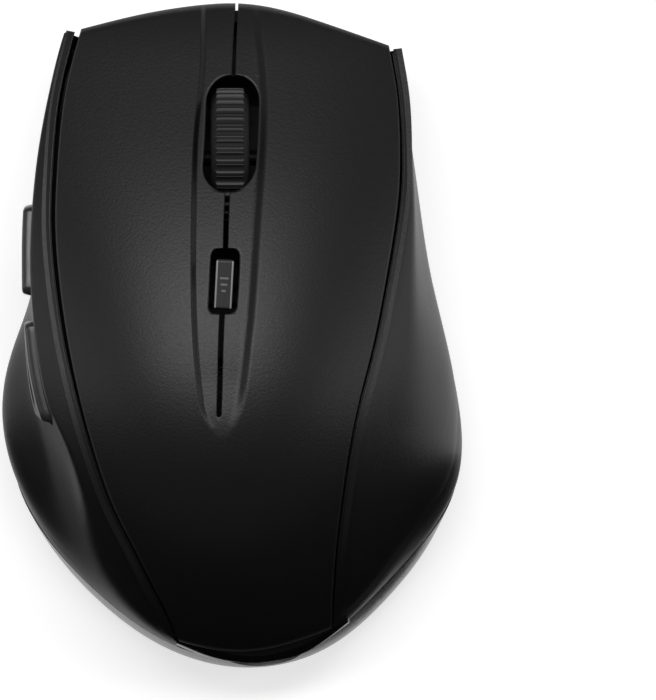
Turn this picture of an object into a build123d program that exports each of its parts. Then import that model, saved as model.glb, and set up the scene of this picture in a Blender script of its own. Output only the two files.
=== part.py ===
from build123d import *
import os
from math import hypot

# A right-handed wireless computer mouse. Millimetres. The row frame has +Y towards
# the keys, +X to the right of the hand and +Z up, with its origin on the table,
# under the middle of the mouse. The feet stand on z = 0.

# ---------------------------------------------------------------- driving sizes
FLOOR = 0.6  # underside of the base above the table
WALL = 1.8  # thickness of the casing
SEAM_GAP = 0.3  # half the groove between the top cover and the side shells
KEY_ROOT_Y = -13.0  # where the two keys grow out of the palm cover
KEY_CLEARANCE = 0.3
KEY_LIP_Z = 11.0  # lower edge of the keys at the front

WHEEL_X, WHEEL_Y, WHEEL_Z = -0.6, 28.0, 19.4
WHEEL_R, WHEEL_W = 11.2, 6.1
WHEEL_CORE_R = 9.0
WHEEL_SLOT_L, WHEEL_SLOT_W = 18.6, 8.3
RIB_COUNT = 36
AXLE_R = 1.2
CRADLE_PIVOT_Y, CRADLE_PIVOT_Z = 15.0, 12.0
PIVOT_R = 1.0
RUNNING = 0.05  # radial clearance of a turning pin

DPI_X, DPI_Y, DPI_BUTTON_Y = -1.45, 8.45, 7.9
DPI_SLOT_W, DPI_SLOT_L = 4.5, 10.3
DPI_TOP = 35.6  # top of the resolution button
DPI_STEM_Z = 11.6
CHANNEL_DEPTH = 0.9

BOARD_Z, BOARD_T = 5.0, 1.6
BOARD_TOP = BOARD_Z + BOARD_T
STANDOFFS = [(-13.5, -2.5), (-19.4, 31.0), (18.9, 10.0), (18.9, 31.0)]
LEFT_CLICK_X, RIGHT_CLICK_X = -14.0, 12.8
CLICK_Y = 32.0
SWITCH_TOP = 13.1
CLICK_Z = 13.9  # top of the click plungers, where the posts of the keys rest

CELL_R, CELL_L = 7.25, 50.5
CELL_X, CELL_Y = 0.0, -16.6
CELL_Z = 2.6 + CELL_R
DOOR_T = 1.5

RECEIVER_X, RECEIVER_Y = 1.0, -36.4
RECEIVER_T, RECEIVER_W = 6.2, 14.5
HOUSING_L, PLUG_L, PLUG_W, PLUG_T = 6.4, 12.3, 12.0, 4.5
RECEIVER_Z = 1.0

SENSOR_Y = 0.3

# Glide feet: x, y and the angle of the long side.
FEET = [(-15.5, 41.0, 4.0), (15.0, 41.0, -6.0), (-18.5, -33.0, -50.0), (20.5, -33.0, 52.0)]
FOOT_L, FOOT_W, FOOT_SINK = 11.0, 6.0, 0.4
BOSS_Z = 6.0  # where the base's bosses meet the posts of the inner frame
FRAME_DROP = 3.2  # top of the inner frame below the crown
FRAME_HOLE = [
    (-22.0, 41.0), (21.5, 41.0), (21.0, 12.0), (15.5, -12.0), (12.5, -30.0), (9.0, -39.0),
    (-5.5, -39.0), (-14.0, -25.0), (-20.0, -8.0), (-23.5, 15.0),
]  # fmt: skip
FRONT_WALL_Z = 10.2

TRIM_LEFT, TRIM_RIGHT = -8.9, 15.6  # ends of the rear trim
THUMB_PROUD = 1.5
THUMB_STEM_X = -25.4
THUMB_FORWARD = [(20.9, 17.4), (20.3, 21.2), (6.0, 24.0), (6.6, 19.4)]
THUMB_BACK = [(2.3, 19.9), (2.0, 25.0), (-14.4, 27.2), (-13.2, 22.0)]

# Outermost plan line of the casing, from the front left corner round the back to the
# front right corner, and the line of the key tips between the two corners.
SIDE_LINE = [
    (-27.4, 48.3), (-28.7, 43.0), (-30.9, 32.0), (-32.3, 20.0), (-32.8, 7.0),
    (-35.6, -3.5), (-36.9, -12.0), (-35.1, -22.0), (-30.2, -32.0), (-21.8, -42.0),
    (-10.5, -50.0), (2.0, -53.0), (14.0, -50.3), (24.5, -41.8), (32.0, -32.0),
    (35.9, -22.5), (36.6, -14.0), (34.6, -3.0), (31.7, 8.0), (29.7, 21.0),
    (28.3, 35.0), (27.0, 45.6),
]  # fmt: skip
TIP_LINE = [(14.0, 50.0), (0.5, 53.0), (-14.0, 51.4)]

# How far the wall lies inside that line at each height, one value for each point:
# the sides first, then the tips.
WALL_INSETS = {
    0.6: ([
        5.6, 4.2, 3.6, 3.5, 3.8, 5, 5.5, 5, 4.5, 4, 4,
        4, 4, 4, 4.5, 5, 5.5, 5, 4, 3.6, 4.2, 5.6,
    ], 5.0),
    4.5: ([
        3.2, 2, 1.6, 1.6, 1.6, 1.8, 2, 1.6, 0.4, 0, 0,
        0, 0, 0, 0.4, 1.6, 1.8, 1.6, 1.2, 1.3, 1.8, 3,
    ], 3.0),
    10.0: ([
        2, 1.2, 0.9, 0.9, 0.6, 0, 0, 0, 0.3, 0.7, 0.8,
        1, 1.4, 1.6, 1, 0, 0, 0, 0, 0.2, 0.9, 1.8,
    ], 1.5),
    19.0: ([
        0, 0.2, 0.3, 0.5, 1, 4, 5.8, 6, 4.3, 2.8, 2,
        2.5, 3, 3.5, 4.5, 4, 3.8, 2.6, 1.6, 0.8, 0.4, 0,
    ], 0.0),
    28.0: ([
        0, 0, 0, 0, 0.5, 4.8, 7.6, 9, 7.8, 5.2, 4,
        4, 5, 6.5, 8.5, 9, 8.5, 6.8, 4, 1.6, 0.4, 0,
    ], 0.0),
    44.0: ([
        0, 0, 0, 0, 1, 5.5, 9, 11, 10, 8, 6,
        6, 7, 9, 11, 11.5, 10.5, 8.5, 5.5, 2.5, 0.6, 0,
    ], 0.0),
}  # fmt: skip

# The crown at stations from front to back: y, height on the centre line, and the
# drop at CROWN_REACH from the centre line. It also leans down to the right.
CROWN = [
    (58, 13.0, 4.5), (53, 16.6, 5), (42, 22.3, 5.6), (28, 28.6, 6.8), (14, 33.9, 8.2),
    (0, 37.8, 9.6), (-12, 39.5, 10.8), (-22, 38.6, 12), (-31, 35.2, 13.6),
    (-39, 29.4, 15.6), (-45, 22.6, 17.4), (-49.5, 15.2, 19), (-53, 7, 20.5), (-56, -2, 22),
]  # fmt: skip
CROWN_REACH = 28.0
CROWN_X = -1.0
CROWN_LEAN = 0.04

# The grooves beside the top cover, front to back, and its tail from left to right.
GROOVE_LEFT = [
    (-23.2, 56.0), (-24.7, 49.5), (-26.9, 40.0), (-28.5, 25.5), (-28.5, 12.5),
    (-26.9, 0.0), (-24.2, -12.0), (-20.2, -25.0), (-14.0, -38.0), (-8.9, -48.9),
]  # fmt: skip
GROOVE_RIGHT = [
    (23.2, 56.0), (24.9, 46.5), (26.4, 36.0), (26.6, 26.0), (25.2, 12.7),
    (22.7, 0.0), (19.8, -12.0), (17.4, -25.0), (16.0, -38.0), (15.6, -46.8),
]  # fmt: skip
TAIL = [(-8.9, -48.9), (-4.8, -49.9), (1.5, -50.5), (6.7, -49.8), (11.4, -48.4), (15.6, -46.8)]

# The slit between the keys, front to back.
SLIT = [(0.6, 56.0), (0.0, 43.0), (-0.7, 28.0), (-1.5, 8.5), (-2.35, -13.2)]
SLIT_W = 0.7

# The shallow channel along the middle, from its front left end round to the right.
CHANNEL = [
    (-5.0, 60.0), (-5.2, 42.0), (-6.3, 27.0), (-6.6, 12.0), (-6.0, -4.0), (-4.6, -13.6),
    (-1.9, -17.0), (0.9, -13.6), (2.3, -4.0), (3.6, 8.0), (4.8, 27.0), (4.9, 41.0),
    (4.0, 60.0),
]  # fmt: skip

# Height of the seam between the base and the side shells, front to back.
SEAM = [(60, 5.0), (10, 5.2), (-15, 5.8), (-27, 8.2), (-38, 10.0), (-47, 10.5), (-60, 10.6)]


def inset_line(points, insets, extra):
    """Each point moved inwards, square to the line through its neighbours."""
    count = len(points)
    moved = []
    for i, (x, y) in enumerate(points):
        bx, by = points[i - 1]
        ax, ay = points[(i + 1) % count]
        along = hypot(ax - bx, ay - by)
        step = (insets[i] + extra) / along
        moved.append((x - (ay - by) * step, y + (ax - bx) * step))
    return moved


def wall_block(extra=0.0, bottom=None):
    """The solid inside the casing's walls, moved inwards by extra."""
    with BuildPart(mode=Mode.PRIVATE) as block:
        for z, (sides, tips) in WALL_INSETS.items():
            line = inset_line(SIDE_LINE + TIP_LINE, sides + [tips] * len(TIP_LINE), extra)
            side, tip = line[: len(SIDE_LINE)], line[len(SIDE_LINE) :]
            with BuildSketch(Plane.XY.offset(z)):
                with BuildLine():
                    Spline(*side)
                    Spline(side[-1], *tip, side[0])
                make_face()
        loft()
        if bottom is not None:
            with BuildSketch(Plane.XY.offset(bottom)):
                Rectangle(200, 200)
            extrude(amount=60, mode=Mode.INTERSECT)
    return block.part


def crown_block(lower=0.0):
    """The solid under the crown, moved down by lower."""
    with BuildPart(mode=Mode.PRIVATE) as block:
        for y, height, drop in CROWN:
            top = []
            for x in (-42, -28, -14, 0, 14, 28, 42):
                reach = (x - CROWN_X) / CROWN_REACH
                z = height - drop * reach**2 - CROWN_LEAN * (x - CROWN_X)
                top.append((x, z - lower))
            with BuildSketch(Plane.XZ.offset(-y)):
                with BuildLine():
                    Spline(*top)
                    Polyline(top[-1], (42, -120), (-42, -120), top[0])
                make_face()
        loft()
    return block.part


def cover_prism(grow):
    """A tall block with the plan of the top cover, each side moved out by grow."""
    left = [(x - grow, y) for x, y in GROOVE_LEFT]
    right = [(x + grow, y) for x, y in GROOVE_RIGHT]
    tail = [left[-1], *[(x, y - grow) for x, y in TAIL[1:-1]], right[-1]]
    with BuildPart(mode=Mode.PRIVATE) as prism:
        with BuildSketch():
            with BuildLine():
                Spline(*left)
                Spline(*tail)
                Spline(*right)
                Line(left[0], right[0])
            make_face()
        extrude(amount=60)
    return prism.part


def above_seam():
    """Everything above the seam between the base and the side shells."""
    with BuildPart(mode=Mode.PRIVATE) as upper:
        with BuildSketch(Plane.YZ):
            with BuildLine():
                Spline(*SEAM)
                Polyline(SEAM[-1], (-60, 60), (60, 60), SEAM[0])
            make_face()
        extrude(amount=60, both=True)
    return upper.part


def side_prism(outline, grow=0.0):
    """A block along X through the left flank, from an outline in y and z."""
    with BuildPart(mode=Mode.PRIVATE) as prism:
        with BuildSketch(Plane.YZ):
            with BuildLine():
                Polyline(*outline, close=True)
            make_face()
            if grow:
                offset(amount=grow, kind=Kind.INTERSECTION)
        extrude(amount=-60)
    return prism.part


def slab(x0, x1, y0, y1, z0, z1):
    """A box between two corners, kept out of any builder."""
    block = Box(x1 - x0, y1 - y0, z1 - z0, mode=Mode.PRIVATE)
    return Pos((x0 + x1) / 2, (y0 + y1) / 2, (z0 + z1) / 2) * block


def post(x, y, z0, z1, radius):
    """An upright cylinder, kept out of any builder."""
    return Pos(x, y, (z0 + z1) / 2) * Cylinder(radius, z1 - z0, mode=Mode.PRIVATE)


def rod(x0, x1, y, z, radius):
    """A cylinder along X, kept out of any builder."""
    return Pos((x0 + x1) / 2, y, z) * Rot(0, 90, 0) * Cylinder(radius, x1 - x0, mode=Mode.PRIVATE)


def pad(spot, length, width, z0, z1, corner):
    """An upright rounded plate at a foot's place and angle."""
    x, y, angle = spot
    with BuildPart(mode=Mode.PRIVATE) as plate:
        with BuildSketch(Plane.XY.offset(z0)):
            with Locations(Location((x, y, 0), (0, 0, angle))):
                RectangleRounded(length, width, corner)
        extrude(amount=z1 - z0)
    return plate.part


def keep(builder, label):
    """Names a finished piece and writes it."""
    builder.part.label = label
    export_step(builder.part, f"parts/{label}.step")


os.makedirs("parts", exist_ok=True)

# ---------------------------------------------------------------- casing blanks
outer_wall = wall_block()
outer_block = outer_wall & crown_block()
hollow_block = wall_block(WALL, FLOOR + WALL) & crown_block(WALL)
casing = outer_block - hollow_block
upper_side = above_seam()
cover_hole = cover_prism(SEAM_GAP)
below_keys = crown_block(WALL * 0.5)

# ---------------------------------------------------------------- top cover
with BuildPart() as slit_cut:
    with BuildSketch():
        with BuildLine():
            Spline(*[(x - SLIT_W / 2, y) for x, y in SLIT])
            Line((SLIT[-1][0] - SLIT_W / 2, SLIT[-1][1]), (SLIT[-1][0] + SLIT_W / 2, SLIT[-1][1]))
            Spline(*[(x + SLIT_W / 2, y) for x, y in reversed(SLIT)])
            Line((SLIT[0][0] + SLIT_W / 2, SLIT[0][1]), (SLIT[0][0] - SLIT_W / 2, SLIT[0][1]))
        make_face()
    extrude(amount=60)

with BuildPart() as wheel_slot:
    with BuildSketch():
        with Locations(Location((-0.6, 31.9, 0), (0, 0, -3))):
            SlotOverall(WHEEL_SLOT_L, WHEEL_SLOT_W, rotation=90)
    extrude(amount=60)

with BuildPart() as dpi_slot:
    with BuildSketch():
        with Locations(Location((DPI_X, DPI_Y, 0), (0, 0, -3))):
            RectangleRounded(DPI_SLOT_W, DPI_SLOT_L, 1.2)
    extrude(amount=60)

with BuildPart() as channel:
    with BuildSketch():
        with BuildLine():
            Spline(*CHANNEL)
            Line(CHANNEL[-1], CHANNEL[0])
        make_face()
    extrude(amount=60)
    add(crown_block(CHANNEL_DEPTH), mode=Mode.SUBTRACT)

cover = casing & cover_prism(-SEAM_GAP) & slab(-50, 50, -60, 60, KEY_LIP_Z, 60)
wheel_room = rod(WHEEL_X - 3.7, WHEEL_X + 3.7, WHEEL_Y, WHEEL_Z, WHEEL_R + 0.45)
cover = cover - slit_cut.part - wheel_slot.part - dpi_slot.part - channel.part - wheel_room
keys = cover & slab(-50, 50, KEY_ROOT_Y + KEY_CLEARANCE, 60, 0, 60)
left_blank, right_blank = keys.solids().sort_by(SortBy.VOLUME)[-2:].sort_by(Axis.X)

with BuildPart() as palm_cover:
    add(cover & slab(-50, 50, -60, KEY_ROOT_Y - KEY_CLEARANCE, 0, 60))
    add(crown_block(WALL), mode=Mode.SUBTRACT)
keep(palm_cover, "palm_cover")

with BuildPart() as left_button:
    add(left_blank)
    add(post(LEFT_CLICK_X, CLICK_Y, CLICK_Z, 40, 1.7) & below_keys)
keep(left_button, "left_button")

with BuildPart() as right_button:
    add(right_blank)
    add(post(RIGHT_CLICK_X, CLICK_Y, CLICK_Z, 40, 1.7) & below_keys)
keep(right_button, "right_button")

# ---------------------------------------------------------------- side shells
with BuildPart() as sides:
    add(casing)
    add(upper_side, mode=Mode.INTERSECT)
    add(cover_hole, mode=Mode.SUBTRACT)

with BuildPart() as left_side_shell:
    add(sides.part)
    add(slab(-60, TRIM_LEFT, -60, 60, 0, 60), mode=Mode.INTERSECT)
    add(side_prism(THUMB_FORWARD, 0.3), mode=Mode.SUBTRACT)
    add(side_prism(THUMB_BACK, 0.3), mode=Mode.SUBTRACT)
keep(left_side_shell, "left_side_shell")

with BuildPart() as right_side_shell:
    add(sides.part)
    add(slab(TRIM_RIGHT, 60, -60, 60, 0, 60), mode=Mode.INTERSECT)
keep(right_side_shell, "right_side_shell")

with BuildPart() as rear_trim:
    add(outer_block)
    add(upper_side, mode=Mode.INTERSECT)
    add(slab(TRIM_LEFT, TRIM_RIGHT, -60, -47.5, 0, 60), mode=Mode.INTERSECT)
    add(cover_hole - crown_block(WALL + 0.3), mode=Mode.SUBTRACT)
keep(rear_trim, "rear_trim")

# ---------------------------------------------------------------- thumb buttons
thumb_outer = wall_block(-THUMB_PROUD)
for label, outline, stem_y, stem_z in (
    ("thumb_button_forward", THUMB_FORWARD, 13.0, 21.0),
    ("thumb_button_back", THUMB_BACK, -2.0, 23.6),
):
    with BuildPart() as thumb:
        add(side_prism(outline))
        add(thumb_outer, mode=Mode.INTERSECT)
        add(slab(-60, -28.6, -60, 60, 0, 60), mode=Mode.INTERSECT)
        add(rod(-29.0, THUMB_STEM_X, stem_y, stem_z, 1.3))
    keep(thumb, label)

# ---------------------------------------------------------------- base shell
front_wall = casing & cover_prism(0) & slab(-50, 50, 30, 60, 4, FRONT_WALL_Z)
with BuildPart() as base_shell:
    add(casing)
    add(upper_side, mode=Mode.SUBTRACT)
    add(front_wall)
    add(slab(-29, 29, -26.6, -6.6, 2, 19) & hollow_block)
    add(slab(RECEIVER_X - 8.75, RECEIVER_X + 8.75, -47.3, -26, 2, 8.8))
    for x, y, angle in FEET:
        add(post(x, y, 2, BOSS_Z, 3.4))
    for x, y in STANDOFFS:
        add(post(x, y, 2, BOARD_Z, 2.2))
    for x in (WHEEL_X - 8.1, WHEEL_X + 6.1):
        add(slab(x, x + 2, 12.6, 17.4, 2, 14.4))
    add(slab(-27.5, 27.5, -25.1, -8.1, 0, 17.5), mode=Mode.SUBTRACT)
    add(
        slab(RECEIVER_X - 7.55, RECEIVER_X + 7.55, -46.05, -26.75, 0, 7.5),
        mode=Mode.SUBTRACT,
    )
    add(slab(-4.5, 4.5, SENSOR_Y - 3.5, SENSOR_Y + 3.5, 0, 3), mode=Mode.SUBTRACT)
    add(slab(14.6, 17.8, -2.5, 5, 0, 3), mode=Mode.SUBTRACT)
    for foot in FEET:
        add(pad(foot, FOOT_L + 0.4, FOOT_W + 0.4, 0, FLOOR + FOOT_SINK, 2.7), mode=Mode.SUBTRACT)
        add(post(foot[0], foot[1], 0, 4, 2.3), mode=Mode.SUBTRACT)
        add(post(foot[0], foot[1], 0, 20, 1.2), mode=Mode.SUBTRACT)
    for x, y in STANDOFFS:
        add(post(x, y, 2.6, 20, 0.9), mode=Mode.SUBTRACT)
    pivot_bore = rod(-20, 20, CRADLE_PIVOT_Y, CRADLE_PIVOT_Z, PIVOT_R + RUNNING)
    add(pivot_bore, mode=Mode.SUBTRACT)
keep(base_shell, "base_shell")

# ---------------------------------------------------------------- inner frame
with BuildPart() as frame_hole:
    with BuildSketch():
        with BuildLine():
            Polyline(*FRAME_HOLE, close=True)
        make_face()
    extrude(amount=60)

with BuildPart() as mid_frame:
    add(hollow_block)
    add(crown_block(FRAME_DROP), mode=Mode.INTERSECT)
    add(crown_block(FRAME_DROP + 1.5), mode=Mode.SUBTRACT)
    add(cover_prism(5.0), mode=Mode.INTERSECT)
    add(slab(-50, 50, -44.5, 45.3, 12, 60), mode=Mode.INTERSECT)
    add(frame_hole.part, mode=Mode.SUBTRACT)
    for x, y, angle in FEET:
        add(post(x, y, BOSS_Z, 60, 2.6) & crown_block(FRAME_DROP + 0.5))
        add(post(x, y, 0, 16, 1.05), mode=Mode.SUBTRACT)
    for x, y in ((-18, -22), (14, -22), (-10.5, -38), (12, -39)):
        add(post(x, y, 10, 60, 1.5) & crown_block(WALL) - crown_block(FRAME_DROP + 0.5))
    add(wall_block(WALL + 0.4, FLOOR + WALL), mode=Mode.INTERSECT)
    for outline in (THUMB_FORWARD, THUMB_BACK):
        add(side_prism(outline, 0.8) & slab(-60, -24.5, -60, 60, 0, 60), mode=Mode.SUBTRACT)
keep(mid_frame, "mid_frame")

# ---------------------------------------------------------------- scroll wheel
wheel_left, wheel_right = WHEEL_X - WHEEL_W / 2, WHEEL_X + WHEEL_W / 2
with BuildPart() as scroll_wheel_hub:
    add(rod(wheel_left + 0.4, wheel_right - 0.4, WHEEL_Y, WHEEL_Z, WHEEL_CORE_R))
    for x0, x1 in ((wheel_left, wheel_left + 1.2), (wheel_right - 1.2, wheel_right)):
        add(rod(x0, x1, WHEEL_Y, WHEEL_Z, 7.6), mode=Mode.SUBTRACT)
    add(rod(wheel_left, wheel_right, WHEEL_Y, WHEEL_Z, 2.6))
    add(rod(WHEEL_X - 8.6, WHEEL_X + 6.6, WHEEL_Y, WHEEL_Z, AXLE_R))
keep(scroll_wheel_hub, "scroll_wheel_hub")

with BuildPart() as scroll_wheel_tyre:
    add(rod(wheel_left, wheel_right, WHEEL_Y, WHEEL_Z, WHEEL_R - 0.5))
    fillet(scroll_wheel_tyre.edges().filter_by(GeomType.CIRCLE), 1.1)
    with BuildSketch(Plane.YZ.offset(WHEEL_X - 2.25)):
        with Locations((WHEEL_Y, WHEEL_Z)):
            with PolarLocations(WHEEL_R - 0.75, RIB_COUNT):
                Rectangle(1.5, 1.0)
    extrude(amount=4.5)
    add(rod(-20, 20, WHEEL_Y, WHEEL_Z, WHEEL_CORE_R), mode=Mode.SUBTRACT)
keep(scroll_wheel_tyre, "scroll_wheel_tyre")

with BuildPart() as wheel_cradle:
    for x in (WHEEL_X - 5.8, WHEEL_X + 4.6):
        with BuildSketch(Plane.YZ.offset(x)):
            with BuildLine():
                Polyline(
                    (12.8, 10.2), (24, 9.6), (30, 10.2), (42, 12), (42, 14.2),
                    (32.5, 21.6), (30, 23), (26, 23), (23.5, 21.6), (13, 14.2), close=True,
                )  # fmt: skip
            make_face()
        extrude(amount=1.2)
    add(slab(WHEEL_X - 5.8, WHEEL_X + 5.8, 39.4, 42, 12, 14.2))
    add(slab(WHEEL_X - 5.8, WHEEL_X + 5.8, 12.8, 14.6, 10.2, 14.2))
    add(rod(WHEEL_X - 7.7, WHEEL_X - 4.6, CRADLE_PIVOT_Y, CRADLE_PIVOT_Z, PIVOT_R))
    add(rod(WHEEL_X + 4.6, WHEEL_X + 7.7, CRADLE_PIVOT_Y, CRADLE_PIVOT_Z, PIVOT_R))
    add(rod(-20, 20, WHEEL_Y, WHEEL_Z, AXLE_R + RUNNING), mode=Mode.SUBTRACT)
keep(wheel_cradle, "wheel_cradle")

with BuildPart() as rotary_encoder:
    add(slab(WHEEL_X - 9.8, WHEEL_X - 5.8, 23.4, 32.6, 14.8, 23.4))
    fillet(rotary_encoder.edges().filter_by(Axis.X).group_by(Axis.Z)[-1], 2.0)
    add(rod(-20, 0, WHEEL_Y, WHEEL_Z, AXLE_R + RUNNING), mode=Mode.SUBTRACT)
keep(rotary_encoder, "rotary_encoder")

# ---------------------------------------------------------------- resolution button
with BuildPart() as dpi_button:
    with BuildSketch(Plane.XY.offset(DPI_TOP - 3.5)):
        with Locations(Location((DPI_X, DPI_BUTTON_Y, 0), (0, 0, -3))):
            RectangleRounded(3.1, 8.0, 0.6)
    extrude(amount=3.5)
    chamfer(dpi_button.faces().sort_by(Axis.Z)[-1].edges(), 0.4)
    add(slab(DPI_X - 1.2, DPI_X + 1.2, 5.5, 10.3, DPI_STEM_Z, DPI_TOP - 3))
keep(dpi_button, "dpi_button")

# ---------------------------------------------------------------- underside pieces
with BuildPart() as glide_feet:
    for foot in FEET:
        add(pad(foot, FOOT_L, FOOT_W, 0, FLOOR + FOOT_SINK, 2.5))
keep(glide_feet, "glide_feet")

with BuildPart() as battery_door:
    add(slab(-27.2, 27.2, -24.8, -8.4, FLOOR, FLOOR + DOOR_T))
    fillet(battery_door.edges().filter_by(Axis.Z), 1.5)
    for x in (17.0, 19.0, 21.0, 23.0):
        add(slab(x, x + 0.9, -20.6, -12.6, 0, FLOOR + 0.4), mode=Mode.SUBTRACT)
keep(battery_door, "battery_door")

with BuildPart() as power_switch_slider:
    add(slab(14.9, 17.5, -2.2, 1.9, FLOOR + 0.2, 2.8))
    add(slab(13.6, 18.8, -3.4, 3.1, 2.45, 3.2))
    for y in (-1.5, -0.35, 0.8):
        add(slab(14, 18, y, y + 0.4, 0, FLOOR + 0.6), mode=Mode.SUBTRACT)
keep(power_switch_slider, "power_switch_slider")

with BuildPart() as power_switch_body:
    add(slab(13.5, 19.0, -4.0, 5.6, 3.4, BOARD_Z))
keep(power_switch_body, "power_switch_body")

with BuildPart() as sensor_lens:
    add(slab(-4.3, 4.3, SENSOR_Y - 3.3, SENSOR_Y + 3.3, FLOOR + 0.3, 2.6))
    add(slab(-5.6, 5.6, SENSOR_Y - 4.4, SENSOR_Y + 4.4, 2.4, 3.6))
    add(post(0, SENSOR_Y, 3.4, BOARD_Z, 2.4))
    add(post(0, SENSOR_Y, 0, FLOOR + 1.3, 1.6), mode=Mode.SUBTRACT)
keep(sensor_lens, "sensor_lens")

with BuildPart() as casing_screws:
    for x, y, angle in FEET:
        add(post(x, y, 2.4, 4, 2.0))
        add(post(x, y, 4, 13.5, 1.0))
        add(slab(x - 1.4, x + 1.4, y - 0.25, y + 0.25, 2, 3.2), mode=Mode.SUBTRACT)
        add(slab(x - 0.25, x + 0.25, y - 1.4, y + 1.4, 2, 3.2), mode=Mode.SUBTRACT)
keep(casing_screws, "casing_screws")

# ---------------------------------------------------------------- receiver
plug_start = RECEIVER_Y - 9.35 + HOUSING_L
plug_end = plug_start + PLUG_L
plug_z = RECEIVER_Z + RECEIVER_T / 2
with BuildPart() as receiver_housing:
    add(
        slab(
            RECEIVER_X - RECEIVER_W / 2,
            RECEIVER_X + RECEIVER_W / 2,
            plug_start - HOUSING_L,
            plug_start,
            RECEIVER_Z,
            RECEIVER_Z + RECEIVER_T,
        )
    )
    fillet(receiver_housing.edges(), 1.2)
keep(receiver_housing, "receiver_housing")

with BuildPart() as receiver_plug_shell:
    with BuildSketch(Plane.XZ.offset(-plug_start)):
        with Locations((RECEIVER_X, plug_z)):
            RectangleRounded(PLUG_W, PLUG_T, 0.5)
            RectangleRounded(PLUG_W - 0.6, PLUG_T - 0.6, 0.25, mode=Mode.SUBTRACT)
    extrude(amount=-PLUG_L)
    for x in (RECEIVER_X - 3.5, RECEIVER_X + 1.3):
        add(slab(x, x + 2.2, plug_start + 4.6, plug_start + 7, 0, 10), mode=Mode.SUBTRACT)
keep(receiver_plug_shell, "receiver_plug_shell")

with BuildPart() as receiver_tongue:
    add(slab(RECEIVER_X - 5.6, RECEIVER_X + 5.6, plug_start, plug_end - 0.4, plug_z, plug_z + 1.9))
keep(receiver_tongue, "receiver_tongue")

with BuildPart() as receiver_contacts:
    for x in (-4.0, -1.5, 0.5, 3.0):
        add(
            slab(
                RECEIVER_X + x,
                RECEIVER_X + x + 1.0,
                plug_start + 2,
                plug_end - 1,
                plug_z - 0.2,
                plug_z,
            )
        )
keep(receiver_contacts, "receiver_contacts")

# ---------------------------------------------------------------- battery
with BuildPart() as battery_cell:
    add(rod(CELL_X - CELL_L / 2, CELL_X + CELL_L / 2 - 1.2, CELL_Y, CELL_Z, CELL_R))
    fillet(battery_cell.edges(), 0.5)
    add(rod(CELL_X + CELL_L / 2 - 1.8, CELL_X + CELL_L / 2, CELL_Y, CELL_Z, 2.75))
keep(battery_cell, "battery_cell")

with BuildPart() as battery_plus_contact:
    add(slab(CELL_X + CELL_L / 2, CELL_X + CELL_L / 2 + 0.4, -21, -12.2, 4, 16))
    add(slab(CELL_X + CELL_L / 2, 27.5, -14.6, -13.6, 15.6, 16))
keep(battery_plus_contact, "battery_plus_contact")

with BuildPart() as battery_minus_contact:
    add(slab(-27.5, -27.1, -21, -12.2, 4, 16))
    add(rod(-27.1, -CELL_L / 2, CELL_Y, CELL_Z, 3.0))
    add(rod(-26.9, -CELL_L / 2, CELL_Y, CELL_Z, 2.3), mode=Mode.SUBTRACT)
keep(battery_minus_contact, "battery_minus_contact")

# ---------------------------------------------------------------- circuit boards
with BuildPart() as main_circuit_board:
    add(slab(-22, 21.5, -5.5, 35, BOARD_Z, BOARD_TOP))
    add(slab(-11, 10, 34, 43.6, BOARD_Z, BOARD_TOP))
    add(slab(-9, -6.4, 12.3, 17.7, 0, 10), mode=Mode.SUBTRACT)
    add(slab(5.2, 7.8, 12.3, 17.7, 0, 10), mode=Mode.SUBTRACT)
    add(post(0, SENSOR_Y, 0, 10, 2.6), mode=Mode.SUBTRACT)
    for x, y in STANDOFFS:
        add(post(x, y, 0, 10, 1.0), mode=Mode.SUBTRACT)
keep(main_circuit_board, "main_circuit_board")

with BuildPart() as board_screws:
    for x, y in STANDOFFS:
        add(post(x, y, BOARD_TOP, BOARD_TOP + 1.2, 1.8))
        add(post(x, y, 2.8, BOARD_TOP, 0.85))
keep(board_screws, "board_screws")

for side, x in (("left", LEFT_CLICK_X), ("right", RIGHT_CLICK_X)):
    with BuildPart() as click_switch:
        add(slab(x - 2.9, x + 2.9, 21.8, 34.6, BOARD_TOP, SWITCH_TOP))
        add(slab(x - 1.2, x + 1.2, CLICK_Y - 1.4, CLICK_Y + 1, 11.2, 14), mode=Mode.SUBTRACT)
    keep(click_switch, f"{side}_click_switch")
    with BuildPart() as plunger:
        add(slab(x - 0.9, x + 0.9, CLICK_Y - 0.7, CLICK_Y + 0.7, 11.9, CLICK_Z))
    keep(plunger, f"{side}_click_plunger")

with BuildPart() as middle_click_switch:
    add(slab(WHEEL_X - 3, WHEEL_X + 3, 37.7, 43.5, BOARD_TOP, 10.9))
    add(post(WHEEL_X, 40.7, 9.1, 12, 2.0), mode=Mode.SUBTRACT)
keep(middle_click_switch, "middle_click_switch")

with BuildPart() as middle_click_plunger:
    add(post(WHEEL_X, 40.7, 10, 12, 1.7))
keep(middle_click_plunger, "middle_click_plunger")

with BuildPart() as dpi_switch:
    add(slab(DPI_X - 3, DPI_X + 3, 5, 11, BOARD_TOP, 10.1))
    add(post(DPI_X, 8, 10, DPI_STEM_Z - 0.5, 1.7))
keep(dpi_switch, "dpi_switch")

with BuildPart() as thumb_switch_board:
    add(slab(-20.4, -19.2, -5.5, 19.5, BOARD_TOP, 27))
keep(thumb_switch_board, "thumb_switch_board")

with BuildPart() as thumb_switches:
    for y, z in ((13.0, 21.0), (-2.0, 23.6)):
        add(slab(-23.9, -20.4, y - 3, y + 3, z - 3, z + 3))
        add(rod(THUMB_STEM_X + 0.65, -23.8, y, z, 1.7))
keep(thumb_switches, "thumb_switches")

with BuildPart() as optical_sensor:
    add(slab(-5.5, 5.5, SENSOR_Y - 4, SENSOR_Y + 4, BOARD_TOP, BOARD_TOP + 2.6))
keep(optical_sensor, "optical_sensor")

with BuildPart() as microcontroller:
    add(slab(8, 14, 8, 14, BOARD_TOP, BOARD_TOP + 0.9))
keep(microcontroller, "microcontroller")

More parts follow.
